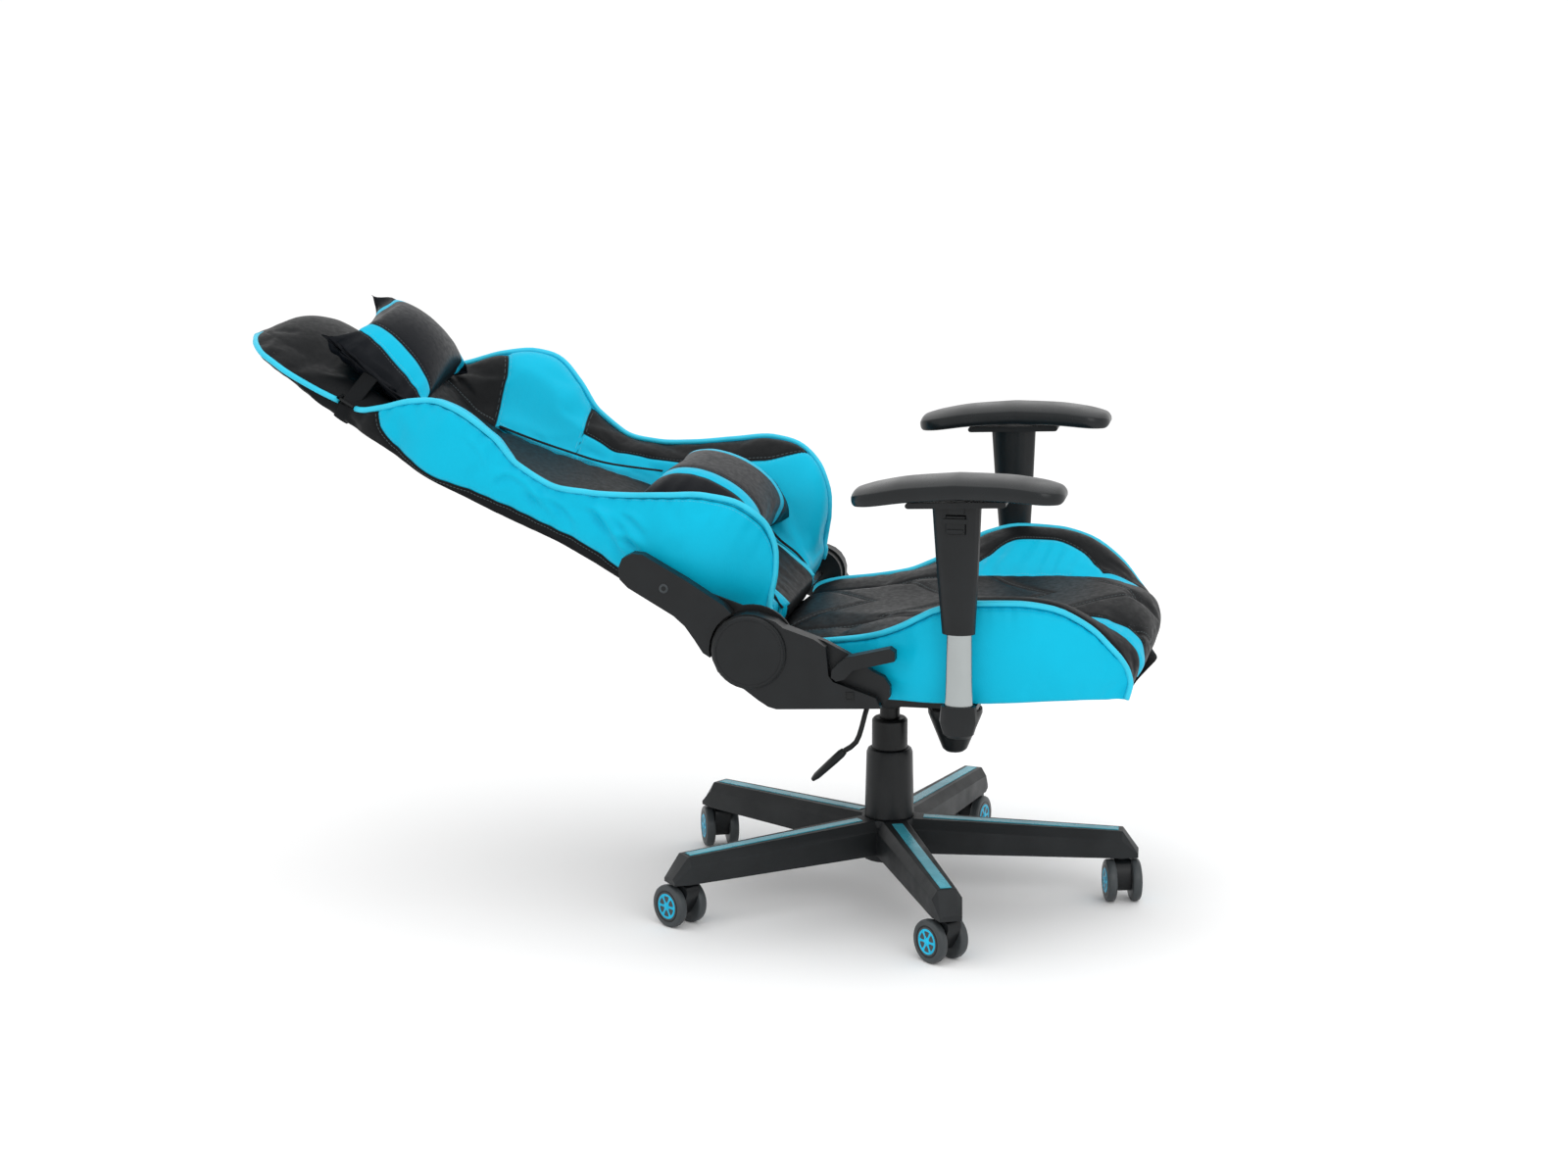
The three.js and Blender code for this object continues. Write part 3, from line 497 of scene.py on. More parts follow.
def metal(name, colour, roughness, brushed=None):
    """Metal with drawn streaks along the brushed direction, if any, and faint smudges."""
    n = Nodes(name, roughness, 1.0)
    smudge = n.noise(30.0, 4.0)
    n.set("Base Color", n.drift(smudge, colour, 0.9, 1.08))
    n.set("Roughness", n.span(smudge, 0.3, 0.7, roughness * 0.8, roughness * 1.25))
    if brushed:
        stretched = n.add("ShaderNodeMapping", ("Vector", n.place()), ("Scale", brushed))
        streaks = n.add(
            "ShaderNodeTexNoise", ("Vector", stretched.outputs["Vector"]), ("Scale", 1.0)
        )
        n.bump(streaks.outputs["Fac"], 0.2, 0.0002)
    return n.material


def webbing(name, colour):
    """Woven elastic strap: fine crossed ribs."""
    n = Nodes(name, 0.8, specular=0.15)
    n.set("Base Color", n.drift(n.noise(60.0), colour, 0.8, 1.2))
    place = n.place()
    ribs = [
        n.add("ShaderNodeTexWave", ("Vector", place), ("Scale", 260.0), bands_direction=way)
        for way in ("X", "DIAGONAL")
    ]
    n.bump(n.math("MAXIMUM", *[r.outputs["Fac"] for r in ribs]), 0.5, 0.0004)
    return n.material


def painted_floor():
    n = Nodes("floor", 0.9, specular=0.1)
    n.set("Base Color", n.mix(n.noise(0.6), (0.95, 0.95, 0.95, 1), (0.98, 0.98, 0.98, 1)))
    return n.material


UPHOLSTERY = leather("upholstery")
PILLOW_LEATHER = leather("pillow_leather", black="0D1015", roughness=0.4)
PIPING = plain_leather("piping", LIGHT_BLUE)
PLASTIC = plastic("moulded_black", "101315", 0.4)
NYLON = plastic("base_nylon", "191C1E", 0.5, 500.0, 0.3)
SOFT_PAD = plastic("pad_skin", "15181A", 0.3, 1100.0, 0.12)
STEEL_BLACK = plastic("coated_steel", "0E1011", 0.42, 400.0, 0.15)
CHROME = metal("satin_tube", "A2A7A7", 0.22, (900, 900, 6))
STEEL = metal("bright_steel", "A5A9AB", 0.3)
DARK_STEEL = metal("dark_steel", "45494B", 0.35)
TREAD = plastic("wheel_tread", "3C4042", 0.38, 700.0, 0.1)
CAP_BLUE = plastic("cap_blue", "05AED4", 0.3, 600.0, 0.08)
INLAY_BLUE = plastic("inlay_blue", "3FA3B6", 0.28, 500.0, 0.08)
STRAP = webbing("strap_elastic", "101214")
BOARD = plastic("seat_board", "1E1D1C", 0.8, 200.0, 0.4)

# ---- Backrest cover ----

BACK_SEAM = 118  # from the middle to the seam between the middle panel and a wing
STRAP_HEIGHT = 641  # where the neck pillow's strap goes round the head
BACK_FRONT = profile(
    (-6, 26), (12, 31), (30, 34), (60, 38), (120, 38), (200, 22), (263, 10), (295, 3), (352, -11),
    (411, -24), (470, -33), (515, -34), (560, -24), (600, -11), (650, -3), (700, 0), (747, -1),
    (775, -6), (794, -15), (806, -25), (820, -43),
)
# The seam beside the middle panel against the panel's middle: up to the wings, down on the head.
SEAM_LIFT = profile(
    (12, 4), (560, 4), (610, -2), (650, -8), (700, -17), (730, -20), (765, -19), (800, -11),
    (820, -2),
)
REAR_EDGE = profile(
    (12, -12), (100, -18), (198, -25), (277, -31), (340, -35), (422, -38), (481, -37), (545, -40),
    (607, -46), (650, -54), (670, -54), (702, -51), (735, -47), (770, -47), (820, -46),
)
REAR_CROWN = profile((12, 4), (150, 12), (330, 22), (480, 24), (600, 14), (720, 5), (820, 1))
CREST = profile(
    (12, 48), (20, 70), (27, 89), (48, 123), (82, 146), (112, 151), (155, 139), (201, 109),
    (248, 77), (296, 50), (345, 34), (392, 38), (439, 57), (487, 67), (518, 61), (557, 36),
    (591, 2), (622, -24), (652, -33), (692, -38), (723, -39), (757, -39), (788, -41), (820, -45),
)
BACK_HALF = profile(
    (12, 208), (36, 203), (57, 205), (97, 223), (155, 236), (201, 226), (248, 213), (296, 206),
    (366, 220), (425, 234), (487, 256), (545, 232), (591, 213), (622, 190), (650, 171),
    (690, 166), (730, 166), (774, 153), (802, 118), (820, 66),
)
SIDE_BAND = profile(
    (12, -4), (208, -12), (251, -12), (309, -17), (369, -19), (427, -24), (485, -30), (548, -28),
    (575, -20), (593, -4), (602, 14), (640, 90),
)
MIDDLE_BLACK = profile(
    (0, 96), (61, 97), (200, 101), (263, 104), (352, 109), (411, 112), (500, 118),
)
UPPER_BLACK = profile(
    (85, 2.1), (95, 2.0), (120, 1.76), (148, 1.62), (246, 1.5), (330, 1.48), (403, 1.44),
)


FAR = 12.0  # panel and quilt end at this many millimetres from the nearest line
HEAD_FROM = 560  # up the backrest from here its whole front is black
WING_SEAM_TO = 600


def half_grid(*counts):
    """Seam coordinates 0, 1, 2 ... of a half section, with that many steps in each stretch."""
    parts = [np.linspace(i, i + 1, n, endpoint=False) for i, n in enumerate(counts)]
    return np.append(np.concatenate(parts), float(len(counts)))


def column(*coordinates):
    """A point for each station, as an array of stations x 1 x coordinates."""
    return np.stack(np.broadcast_arrays(*coordinates), axis=1)[:, None]


def mirrored(half):
    """The whole closed ring of a half section whose ends lie on the middle plane."""
    other = half[:, -2:0:-1].copy()
    if half.ndim == 3:
        other[..., 0] *= -1
    return np.concatenate([half, other], axis=1)


def back_half_section(u, seam):
    """(x, w) of half sections at each u. Seam coordinate 0 is the middle of the front, 1 the wing
    seam, 2 the piping on the crest, 3 the rear edge and 4 the middle of the rear."""
    front, edge, crest, half = BACK_FRONT(u), REAR_EDGE(u), CREST(u), BACK_HALF(u)
    seam_x = np.minimum(BACK_SEAM, 0.7 * half)
    lift = SEAM_LIFT(u)
    seam_w = front + lift
    rise = crest - seam_w
    wing = ease(rise / 22)[:, None]
    span = half - seam_x
    t = seam[seam < 1]
    power = 4 - 2 * ease((u - HEAD_FROM) / 60)
    x = np.outer(seam_x, t)
    flat = np.stack([x, front[:, None] + lift[:, None] * t[None] ** power[:, None]], axis=2)
    t = (seam[(seam >= 1) & (seam < 2)] - 1)[None, :, None]
    ends = column(seam_x, seam_w), column(half, crest)
    on_wing = (
        column(seam_x + 0.5 * span, seam_w + 0.02 * rise),
        column(half - 0.62 * span, crest + 0.06 * np.abs(rise)),
    )
    fall = 2 * np.minimum(lift, 0) / seam_x
    on_head = (
        column(seam_x + 0.5 * span, seam_w + 0.5 * span * fall),
        column(half - 1, crest + 0.45 * np.abs(rise)),
    )
    as_wing = bezier(ends[0], *on_wing, ends[1], t)
    as_head = bezier(ends[0], *on_head, ends[1], t)
    inner = as_head + (as_wing - as_head) * wing[:, :, None]
    t = (seam[(seam >= 2) & (seam < 3)] - 2)[None, :, None]
    height = crest - edge
    outer = bezier(
        ends[1],
        column(half + 0.09 * height, crest - 0.25 * height),
        column(half + 3, edge + 0.2 * height),
        column(half - 5, edge),
        t,
    )
    t = 4 - seam[seam >= 3]
    x = np.outer(half - 5, t)
    w = edge[:, None] - np.outer(REAR_CROWN(u), (1 - t**2) ** 2) - 2.5 * (t**2 - t**12)
    return np.concatenate([flat, inner, outer, np.stack([x, w], axis=2)], axis=1)


def back_stations():
    """Stations up the backrest, with the share of thickness left at each: both ends round off."""
    turn = np.linspace(0, math.pi / 2, 7)[1:]
    body = np.linspace(12, 812, 112)
    u = np.concatenate([12 - 10 * np.sin(turn[::-1]), body, [816, 819, 820.5]])
    share = np.concatenate([np.cos(turn[::-1] * 0.97), np.ones(len(body)), [0.9, 0.6, 0.15]])
    return u, share


def lobe(x, u):
    """How far the middle panel's bottom edge hangs below the wings'."""
    return 12 * ease((70 - u) / 60) * ease((128 - np.abs(x)) / 30)


def signed_triangle(phase):
    """Zero at each whole number, with alternate signs between, and a slope of one."""
    return 0.5 - np.abs((phase - 0.5) % 2 - 1)


def back_panel(x, u, seam):
    """Millimetres inside (over 0) or outside the backrest cover's blue panels."""
    x = np.abs(x)
    middle_panel = np.minimum(x - MIDDLE_BLACK(u), 500 - u)
    across = seam - 1
    shoulder = np.minimum(498 + 55 * across - u, u - 375 - 28 * across)
    lower = np.minimum(375 + 28 * across - u, 110 * (UPPER_BLACK(u) - seam))
    return middle_panel, np.maximum(shoulder, lower)


def on_seams(seam):
    """Where a cover is sewn or stapled down: its underside, the piping and the wing seam."""
    return (seam >= 3) | (np.abs(seam - 2) < 0.01) | (np.abs(seam - 1) < 0.01)


def beside_piping(seam):
    """Millimetres from the stitched lines on both sides of the piping."""
    return np.abs(np.abs((seam - 2) * 115) - 5)


def mark(piece, panel, quilt, along):
    """Keeps on a cover what the leather reads."""
    write_attribute(piece, "panel", panel)
    write_attribute(piece, "quilt", np.clip(quilt, -FAR, FAR))
    write_attribute(piece, "along", along)


def back_upholstery():
    seam = half_grid(14, 20, 22, 9)
    u, share = back_stations()
    half = back_half_section(u, seam)
    centre = ((BACK_FRONT(u) + REAR_EDGE(u)) / 2)[:, None]
    half[..., 1] = centre + (half[..., 1] - centre) * share[:, None]
    along = np.repeat(u[:, None], len(seam), 1)
    x = half[..., 0]
    rings = mirrored(np.stack([x, along - lobe(x, along), half[..., 1]], axis=2))
    seams = mirrored(np.repeat(seam[None], len(u), axis=0))
    piece = skin(
        "back_upholstery", rings, BACK,
        seam=seams, x=rings[..., 0], u=rings[..., 1], w=rings[..., 2],
    )
    s, up = read_attribute(piece, "seam"), read_attribute(piece, "u")
    plump(piece, on_seams(s) | (up < 5) | (up > 812), cap=9, grow=0.012)
    pipe = piping_line(piece, rings.shape[1], int(np.argmin(np.abs(seam - 2))), len(u))
    station = int(np.argmin(np.abs(u - STRAP_HEIGHT)))
    round_head = points_of(piece)[station * rings.shape[1] :][: rings.shape[1]]
    behind = np.flatnonzero(seams[0] > 1.9)
    subdivide(piece)
    dress_back(piece)
    return piece, pipe, round_head[behind]


def piping_line(piece, ring, index, stations):
    """The points of one seam, on the right and on the left, from the first station to the last."""
    co = points_of(piece)[: ring * stations].reshape(stations, ring, 3)
    return {"left": co[:, index], "right": co[:, ring - index]}


def dress_back(piece):
    """The backrest's panels, seams, gathers and folds."""
    s, x, u, w = (read_attribute(piece, k) for k in ("seam", "x", "u", "w"))
    middle_panel, wing_panel = back_panel(x, u, s)
    slope = np.gradient(SIDE_BAND(np.arange(0, 850)), 1)[np.clip(u, 0, 849).astype(int)]
    side_panel = (w - SIDE_BAND(u)) / np.sqrt(1 + slope**2)
    panel = np.where(s < 1, middle_panel, np.where(s < 2.0, wing_panel, side_panel))
    panel = np.where((s > 3.02) | ((u > HEAD_FROM) & (s < 2)), -FAR, panel)
    wing_seam = np.where(u < WING_SEAM_TO, np.abs(s - 1) * 90, FAR)
    mark(piece, panel, np.minimum(wing_seam, beside_piping(s)), u)
    depth = -2.4 * hump(panel, 3.5) * (s < 3)
    depth -= 3.2 * hump((s - 1) * 100, 5) * (u < WING_SEAM_TO)
    depth += -2.2 * hump((s - 2) * 110, 7)
    side = (s > 2.02) & (s < 2.98)
    below_piping = np.clip((s - 2) * 120, 0, 200)
    gather = 1.5 * np.sin(u / 2.9 + 1.7 * np.sin(u / 31)) * np.exp(-below_piping / 18)
    depth += np.where(side, gather * ease((u - 20) / 60), 0)
    depth += np.where(side, 2.1 * folds(u, w, SIDE_FOLDS), 0)
    push(piece, depth)


def folds(a, b, strokes):
    """Creases along strokes of (start, end, width, height): a ridge with a valley beside it."""
    total = np.zeros_like(a)
    for (a0, b0), (a1, b1), width, height in strokes:
        length = math.hypot(a1 - a0, b1 - b0)
        ta, tb = (a1 - a0) / length, (b1 - b0) / length
        t = ((a - a0) * ta + (b - b0) * tb) / length
        gap = -(a - a0) * tb + (b - b0) * ta + 0.12 * length * np.sin(math.pi * np.clip(t, 0, 1))
        shape = hump(gap, width) - 0.7 * hump(gap - 1.5 * width, width)
        total += height * shape * np.sin(math.pi * np.clip(t, 0, 1))
    return total


SIDE_FOLDS = [
    ((415, 0), (388, 28), 6, 1.8),
    ((400, 24), (330, -2), 6, 1.8),
    ((384, 12), (300, -10), 6, 1.6),
    ((362, 14), (280, 4), 5, 1.2),
    ((282, 40), (237, 23), 6, 2.0),
    ((240, 23), (189, 35), 6, 2.0),
    ((250, 54), (195, 53), 5, 1.6),
    ((300, 36), (196, 4), 7, 2.2),
    ((270, 44), (180, 22), 7, 1.8),
    ((250, 20), (170, -4), 6, 1.2),
    ((470, 44), (420, 10), 5, 0.9),
]

# ---- Seat cover ----

SEAT_SEAM = 128
SEAT_FRONT_TURN = -300  # where the top's middle begins to curl over the front edge


def track(*points):
    """A smooth path through (reach, y, z) points, as a function of reach that gives y and z."""
    at = [p[0] for p in points]
    y, z = (profile(*zip(at, [p[i] for p in points])) for i in (1, 2))
    return lambda reach: (y(reach), z(reach))


# Reach runs from below 0 under the rear edge to 1 at the nose and 2 under the front edge.
SEAT_MIDDLE = track(
    (-0.1, 128, 12), (-0.05, 137, 34), (-0.02, 139, 58), (0.03, 127, 69), (0.17, 64, 71),
    (0.45, -60, 73), (0.82, -224, 82), (1, SEAT_FRONT_TURN, 86), (1.3, -338, 84), (1.48, -359, 76),
    (1.62, -368, 62), (1.76, -369, 44), (1.9, -363, 20), (2, -354, 2),
)
SEAT_SIDE_SEAM = track(
    (-0.1, 130, 12), (-0.05, 139, 34), (-0.02, 141, 50), (0.03, 128, 60), (0.24, 20, 74),
    (0.37, -40, 85), (0.6, -140, 87), (0.8, -218, 87), (0.95, -285, 84), (1.1, -308, 80),
    (1.35, -334, 68), (1.58, -354, 49), (1.8, -361, 23), (2, -351, 3),
)
SEAT_PIPING = track(
    (-0.1, 139, 8), (-0.05, 141, 30), (0, 138, 56), (0.1, 106, 67), (0.22, 50, 72), (0.33, 4, 78),
    (0.41, -27, 87), (0.49, -56, 99), (0.56, -82, 113), (0.62, -105, 124), (0.73, -151, 133),
    (0.87, -207, 131), (1, -256, 120), (1.12, -285, 103), (1.25, -305, 86), (1.4, -322, 65),
    (1.55, -337, 45), (1.68, -345, 28), (1.8, -348, 12), (1.9, -345, -1), (2, -342, -10),
)
SEAT_HALF = profile(
    (-0.1, 203), (0.1, 207), (0.22, 211), (0.33, 219), (0.41, 236), (0.49, 247), (0.56, 258),
    (0.62, 263), (0.73, 265), (0.87, 256), (1, 240), (1.12, 228), (1.25, 218), (1.4, 209),
    (1.55, 202), (1.68, 197), (1.8, 195), (2, 195),
)
SEAT_HEM = track(
    (-0.1, 136, -3), (0.03, 132, -3), (0.1, 106, -3), (0.62, -105, -3), (0.87, -207, -4),
    (1.12, -278, -7), (1.55, -318, -11), (2, -342, -11),
)
CRESCENT = profile(
    (-66, 0.9), (-105, 1.32), (-155, 1.58), (-205, 1.58), (-245, 1.44), (-275, 1.2), (-297, 0.9),
)
STRIPE_HALF = profile((340, -5), (356, 0), (392, 10), (430, 15.5), (500, 15), (545, 7))
STRIPE_MIDDLE = 133  # from the seat's middle to each stripe's
QUILT_TO = 116  # from the middle to where the quilting ends
QUILT_PITCH = 122
QUILT_FIRST = 21
QUILT_SLOPE = 0.9


def seat_half_section(reach, seam):
    """(x, y, z) of half ribs of the seat cover at each reach; seam is as on the backrest."""
    half = SEAT_HALF(reach)
    middle_line = column(0.0, *SEAT_MIDDLE(reach))
    side_seam = column(SEAT_SEAM, *SEAT_SIDE_SEAM(reach))
    pipe = column(half, *SEAT_PIPING(reach))
    hem = column(half - 2, *SEAT_HEM(reach))
    t = seam[seam < 1][None, :, None]
    flat = middle_line + (side_seam - middle_line) * t ** np.array([1, 2, 3])
    t = (seam[(seam >= 1) & (seam < 2)] - 1)[None, :, None]
    rise = pipe[..., 2:] - side_seam[..., 2:]
    bulge = 0.1 * np.abs(rise) + 6 * ease((reach - 0.2) * 3)[:, None, None]
    upwards = np.array([0, 0, 1.0])
    inner = bezier(
        side_seam,
        side_seam + (pipe - side_seam) * (0.4, 0.25, 0.1) + 2 * upwards,
        pipe - (pipe - side_seam) * (0.45, 0.25, 0) + bulge * upwards,
        pipe,
        t,
    )
    t = (seam[(seam >= 2) & (seam < 3)] - 2)[None, :, None]
    drop = (pipe[..., 2:] - hem[..., 2:]) / 100
    outwards = np.array([1.0, 0, 0])
    outer = bezier(
        pipe,
        pipe + (hem - pipe) * 0.2 + 7 * drop * outwards,
        pipe + (hem - pipe) * 0.7 + 9 * drop * outwards,
        hem,
        t,
    )
    t = (4 - seam[seam >= 3])[None, :, None]
    belly = middle_line * (1, 1, 0)
    under = belly + (hem - belly) * t
    return np.concatenate([flat, inner, outer, under], axis=1)


def seat_upholstery():
    seam = half_grid(16, 16, 16, 6)
    reach = np.concatenate([[-0.1, -0.07], np.linspace(-0.05, 1, 62)[:-1], np.linspace(1, 2, 26)])
    rings = mirrored(seat_half_section(reach, seam))
    seams = mirrored(np.repeat(seam[None], len(reach), axis=0))
    reaches = np.repeat(reach[:, None], rings.shape[1], axis=1)
    piece = skin(
        "seat_upholstery", rings, SEAT,
        seam=seams, reach=reaches, x=rings[..., 0], y=rings[..., 1], z=rings[..., 2],
    )
    s, r = read_attribute(piece, "seam"), read_attribute(piece, "reach")
    plump(piece, on_seams(s) | (r < 0) | (r > 1.9), cap=9, grow=0.01)
    ring = rings.shape[1]
    pipe = piping_line(piece, ring, int(np.argmin(np.abs(seam - 2))), len(reach))
    subdivide(piece)
    dress_seat(piece)
    return piece, pipe


LENGTH_FROM = 106  # the seat's lengths start this far behind the column


def seat_length(reach):
    """Millimetres along the seat's middle line to a reach."""
    fine = np.linspace(-0.1, 2, 400)
    y, z = SEAT_MIDDLE(fine)
    length = np.append(0, np.cumsum(np.hypot(np.diff(y), np.diff(z))))
    return np.interp(reach, fine, length - np.interp(-LENGTH_FROM, -y[fine > 0], length[fine > 0]))


def dress_seat(piece):
    """The seat's panels, stripes, quilting, seams, gathers and folds."""
    s, r, x, y, z = (read_attribute(piece, k) for k in ("seam", "reach", "x", "y", "z"))
    length = seat_length(r)
    crescent = (CRESCENT(y) - s) * 110
    stripe = STRIPE_HALF(length) - np.abs(np.abs(x) - STRIPE_MIDDLE)
    inner = np.maximum(np.where(s > 0.98, crescent, -FAR), stripe)
    panel = np.where(s < 2.0, inner, FAR)
    panel = np.where(s > 3.02, -FAR, panel)
    phase = (length + QUILT_SLOPE * np.abs(x) - (LENGTH_FROM - QUILT_FIRST)) / QUILT_PITCH
    quilt = signed_triangle(phase) * QUILT_PITCH / math.hypot(1, QUILT_SLOPE)
    quilt = np.where((np.abs(x) < QUILT_TO) & (s < 1), quilt, FAR)
    seam_line = np.where(stripe > -4, FAR, np.clip((s - 1) * 100, -FAR, FAR))
    quilt = np.where(np.abs(seam_line) < np.abs(quilt), seam_line, quilt)
    quilt = np.where(s > 1.9, beside_piping(s), quilt)
    mark(piece, np.clip(panel, -FAR, FAR), quilt, length)
    depth = -2.0 * hump(panel, 4) * (s < 3) - 2.6 * hump(quilt, 5)
    depth += -2.2 * hump((s - 2) * 110, 7)
    side = (s > 2.02) & (s < 2.98)
    gather = 0.9 * np.sin(y / 2.7 + 1.9 * np.sin(y / 27)) * np.exp(-(s - 2) * 120 / 14)
    depth += np.where(side, gather, 0)
    ticks = 1.1 * np.sin((y + 40 * s) / 4.2 + 1.3 * np.sin(y / 17)) * ease(crescent / 12)
    depth += np.where((s > 1) & (s < 2), ticks, 0)
    depth += np.where(side, folds(y, z, SEAT_FOLDS), 0)
    push(piece, depth)


SEAT_FOLDS = [
    ((30, 22), (-60, 46), 7, 1.6),
    ((40, 10), (-90, 22), 7, 1.4),
    ((-10, 60), (-70, 74), 6, 1.2),
    ((-200, 116), (-330, 50), 9, 1.0),
]

# ---- Piping ----

PIPING_RADIUS = 0.004
STRAP_GAP = (630, 652)  # up the backrest, where the strap goes round and the piping stops


def piping(name, path):
    return finish_with(sweep(name, path, PIPING_RADIUS, 8), PIPING)


def back_piping(lines):
    """The piping of the wings and, past the gap where the strap goes round, of the head."""
    u, _ = back_stations()
    pieces = []
    wings = (u > 3) & (u < STRAP_GAP[0])
    for side, _ in RIGHT_AND_LEFT:
        pieces.append(piping(f"wing_piping_{side}", lines[side][wings]))
    head = (u > STRAP_GAP[1]) & (u < 819)
    loop = np.vstack([lines["right"][head], lines["left"][head][::-1]])
    pieces.append(piping("head_piping", loop))
    for name, side in RIGHT_AND_LEFT:
        u = np.linspace(70, -3, 20)
        edge = [(side * 95, at, float(BACK_FRONT(at)) + 3) for at in u]
        pieces.append(piping(f"lower_piping_{name}", in_back(*edge)))
    return pieces


# ---- Cushions held on by straps ----


PILLOW_STATIONS, PILLOW_ACROSS = 44, 26
PILLOW_PRESSURE = 3.0
NECK_SHAPE = {
    "half_x": 148, "half_u": 88, "rise": 57, "belly": 16,
    "pinch": 0.08, "top_pinch": 0.26, "square": 2.0, "dome": 0.75,
}
LUMBAR_SHAPE = {
    "half_x": 146, "half_u": 84, "rise": 60, "belly": 22,
    "pinch": 0.04, "top_pinch": 0.04, "square": 4.5, "dome": 0.5,
}


def pillow_rings(half_x, half_u, rise, belly, pinch, top_pinch, square, dome):
    """Rings of a stuffed pillow: its two faces meet in a seam, and pinch and top_pinch draw the
    middles of its sides in, which leaves the corners pointed. The higher square is, the flatter
    it is across, and the higher dome is, the more its middle stands out."""
    p = np.sin(np.linspace(-math.pi / 2, math.pi / 2, PILLOW_STATIONS))
    q = np.sin(np.linspace(-math.pi / 2, math.pi / 2, PILLOW_ACROSS))
    upper = np.stack(np.meshgrid(p, q, indexing="ij"), axis=2)
    ring = np.concatenate([upper, upper[:, -2:0:-1]], axis=1)
    face = np.concatenate([np.ones(PILLOW_ACROSS), -np.ones(PILLOW_ACROSS - 2)])
    pp, qq = ring[..., 0], ring[..., 1]
    full = (1 - np.abs(pp) ** square).clip(0) ** dome * (1 - np.abs(qq) ** 2.1).clip(0) ** 0.5
    height = np.where(face > 0, rise, -belly)[None] * full
    height += np.where(face > 0, 0.8, -0.8)[None]
    x = half_x * pp * (1 - pinch * (1 - qq**2))
    hollow = np.where(qq > 0, top_pinch, pinch)
    u = half_u * qq * (1 - hollow * (1 - pp**2) ** 0.7)
    return np.stack([x, u, height], axis=2), pp, qq


def pillow(name, node, shape, matrix, bands, cap):
    rings, pp, qq = pillow_rings(**shape)
    piece = skin(name, rings, matrix, p=pp, q=qq, x=rings[..., 0], u=rings[..., 1])
    held = np.zeros(len(piece.data.vertices), bool)
    plump(piece, held, cap, grow=0.02, pressure=PILLOW_PRESSURE)
    subdivide(piece)
    p, q, x, u = (read_attribute(piece, k) for k in ("p", "q", "x", "u"))
    panel = bands(x, u)
    mark(piece, np.clip(panel, -FAR, FAR), np.full(len(x), FAR), u)
    end = np.exp(-(1 - np.abs(p)) * shape["half_x"] / 22)
    gather = 2.4 * np.sin(q * 17 + 2 * np.sin(q * 5 + x / 40)) * end
    push(piece, gather - 1.6 * hump(panel, 3))
    finish_with(piece, PILLOW_LEATHER)
    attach(piece, "back")
    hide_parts(node)
    return piece


def two_bands(inner, outer, spread=0.0):
    """A blue band between these distances from the middle, on each side. spread is how much
    further out the bands lie for each millimetre towards the pillow's lower edge."""
    middle_line = (inner + outer) / 2
    return lambda x, u: (outer - inner) / 2 - np.abs(np.abs(x) - middle_line + spread * u)


def neck_pillow():
    turn = turned(5, "Z") @ turned(-1.7, "Y")
    place = BACK @ Matrix.Translation((0, 648, 13)) @ turn @ turned(10, "X")
    bands = two_bands(85, 113, 0.16)
    return pillow("neck_pillow_cover", "neck_pillow", NECK_SHAPE, place, bands, cap=8)


def lumbar_cushion():
    place = BACK @ Matrix.Translation((0, 157, 66)) @ turned(-4, "X")
    bands = two_bands(67, 93)
    return pillow("lumbar_cover", "lumbar_cushion", LUMBAR_SHAPE, place, bands, cap=6)


STRAP_THICKNESS = 0.0012


def strap(name, path, width, up):
    piece = sweep(name, path, width / 2, 12, STRAP_THICKNESS / (width / 2), up)
    finish_with(piece, STRAP)
    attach(piece, "back")


def in_back(*points):
    return np.array([BACK @ Vector(p) for p in points])


def smooth_path(points, count):
    """A smooth open path through points in metres."""
    points = np.asarray(points, float)
    t = np.linspace(0, 1, len(points))
    fine = np.linspace(0, 1, count)
    return np.stack([profile(*zip(t, points[:, i]))(fine) for i in range(3)], axis=1)


def neck_strap(round_head):
    """One elastic strap from the pillow's ends round the back of the head, and its slider."""
    centre = round_head.mean(axis=0)
    away = round_head - centre
    away /= np.linalg.norm(away, axis=1)[:, None]
    hugging = round_head + away * 0.0025
    if hugging[0, 0] > 0:
        hugging = hugging[::-1]
    path = np.vstack([in_back((-138, 638, 10)), hugging, in_back((138, 654, 16))])
    across = np.cross(np.gradient(path, axis=0), BACK.to_3x3() @ Vector((0, 1, 0)))
    strap("neck_strap", path, 0.022, up=across)
    slider(hugging[1])


SLIDER_BARS = ((-11, 0, 2, 15), (11, 0, 2, 15), (0, -13, 13, 2), (0, 13, 13, 2))
SLIDER_HALF_THICKNESS = 1.4


def slider(at):
    """The flat plastic buckle that sets the strap's length, of four bars given as the middle and
    the half lengths across and up."""
    place = placed(at + np.array([0.008, 0, 0.004]), turned(BACK_LEAN, "X"))
    bars = []
    for x, u, half_x, half_u in SLIDER_BARS:
        rings = [
            [(x + a * half_x, u + b * half_u, h) for a, b in SQUARE]
            for h in (-SLIDER_HALF_THICKNESS, SLIDER_HALF_THICKNESS)
        ]
        bars.append(prism("slider_bar", rings, place))
    buckle = finish_with(joined("strap_slider", bars), PLASTIC)
    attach(buckle, "back")


LUMBAR_STRAP_TOP = [
    (118, 492, -29), (118, 443, -20), (118, 390, -8), (118, 331, 8), (119, 258, 40),
]
LUMBAR_STRAP_BOTTOM = [(112, 84, 52), (112, 65, 46), (112, 31, 41), (112, 0, 28)]


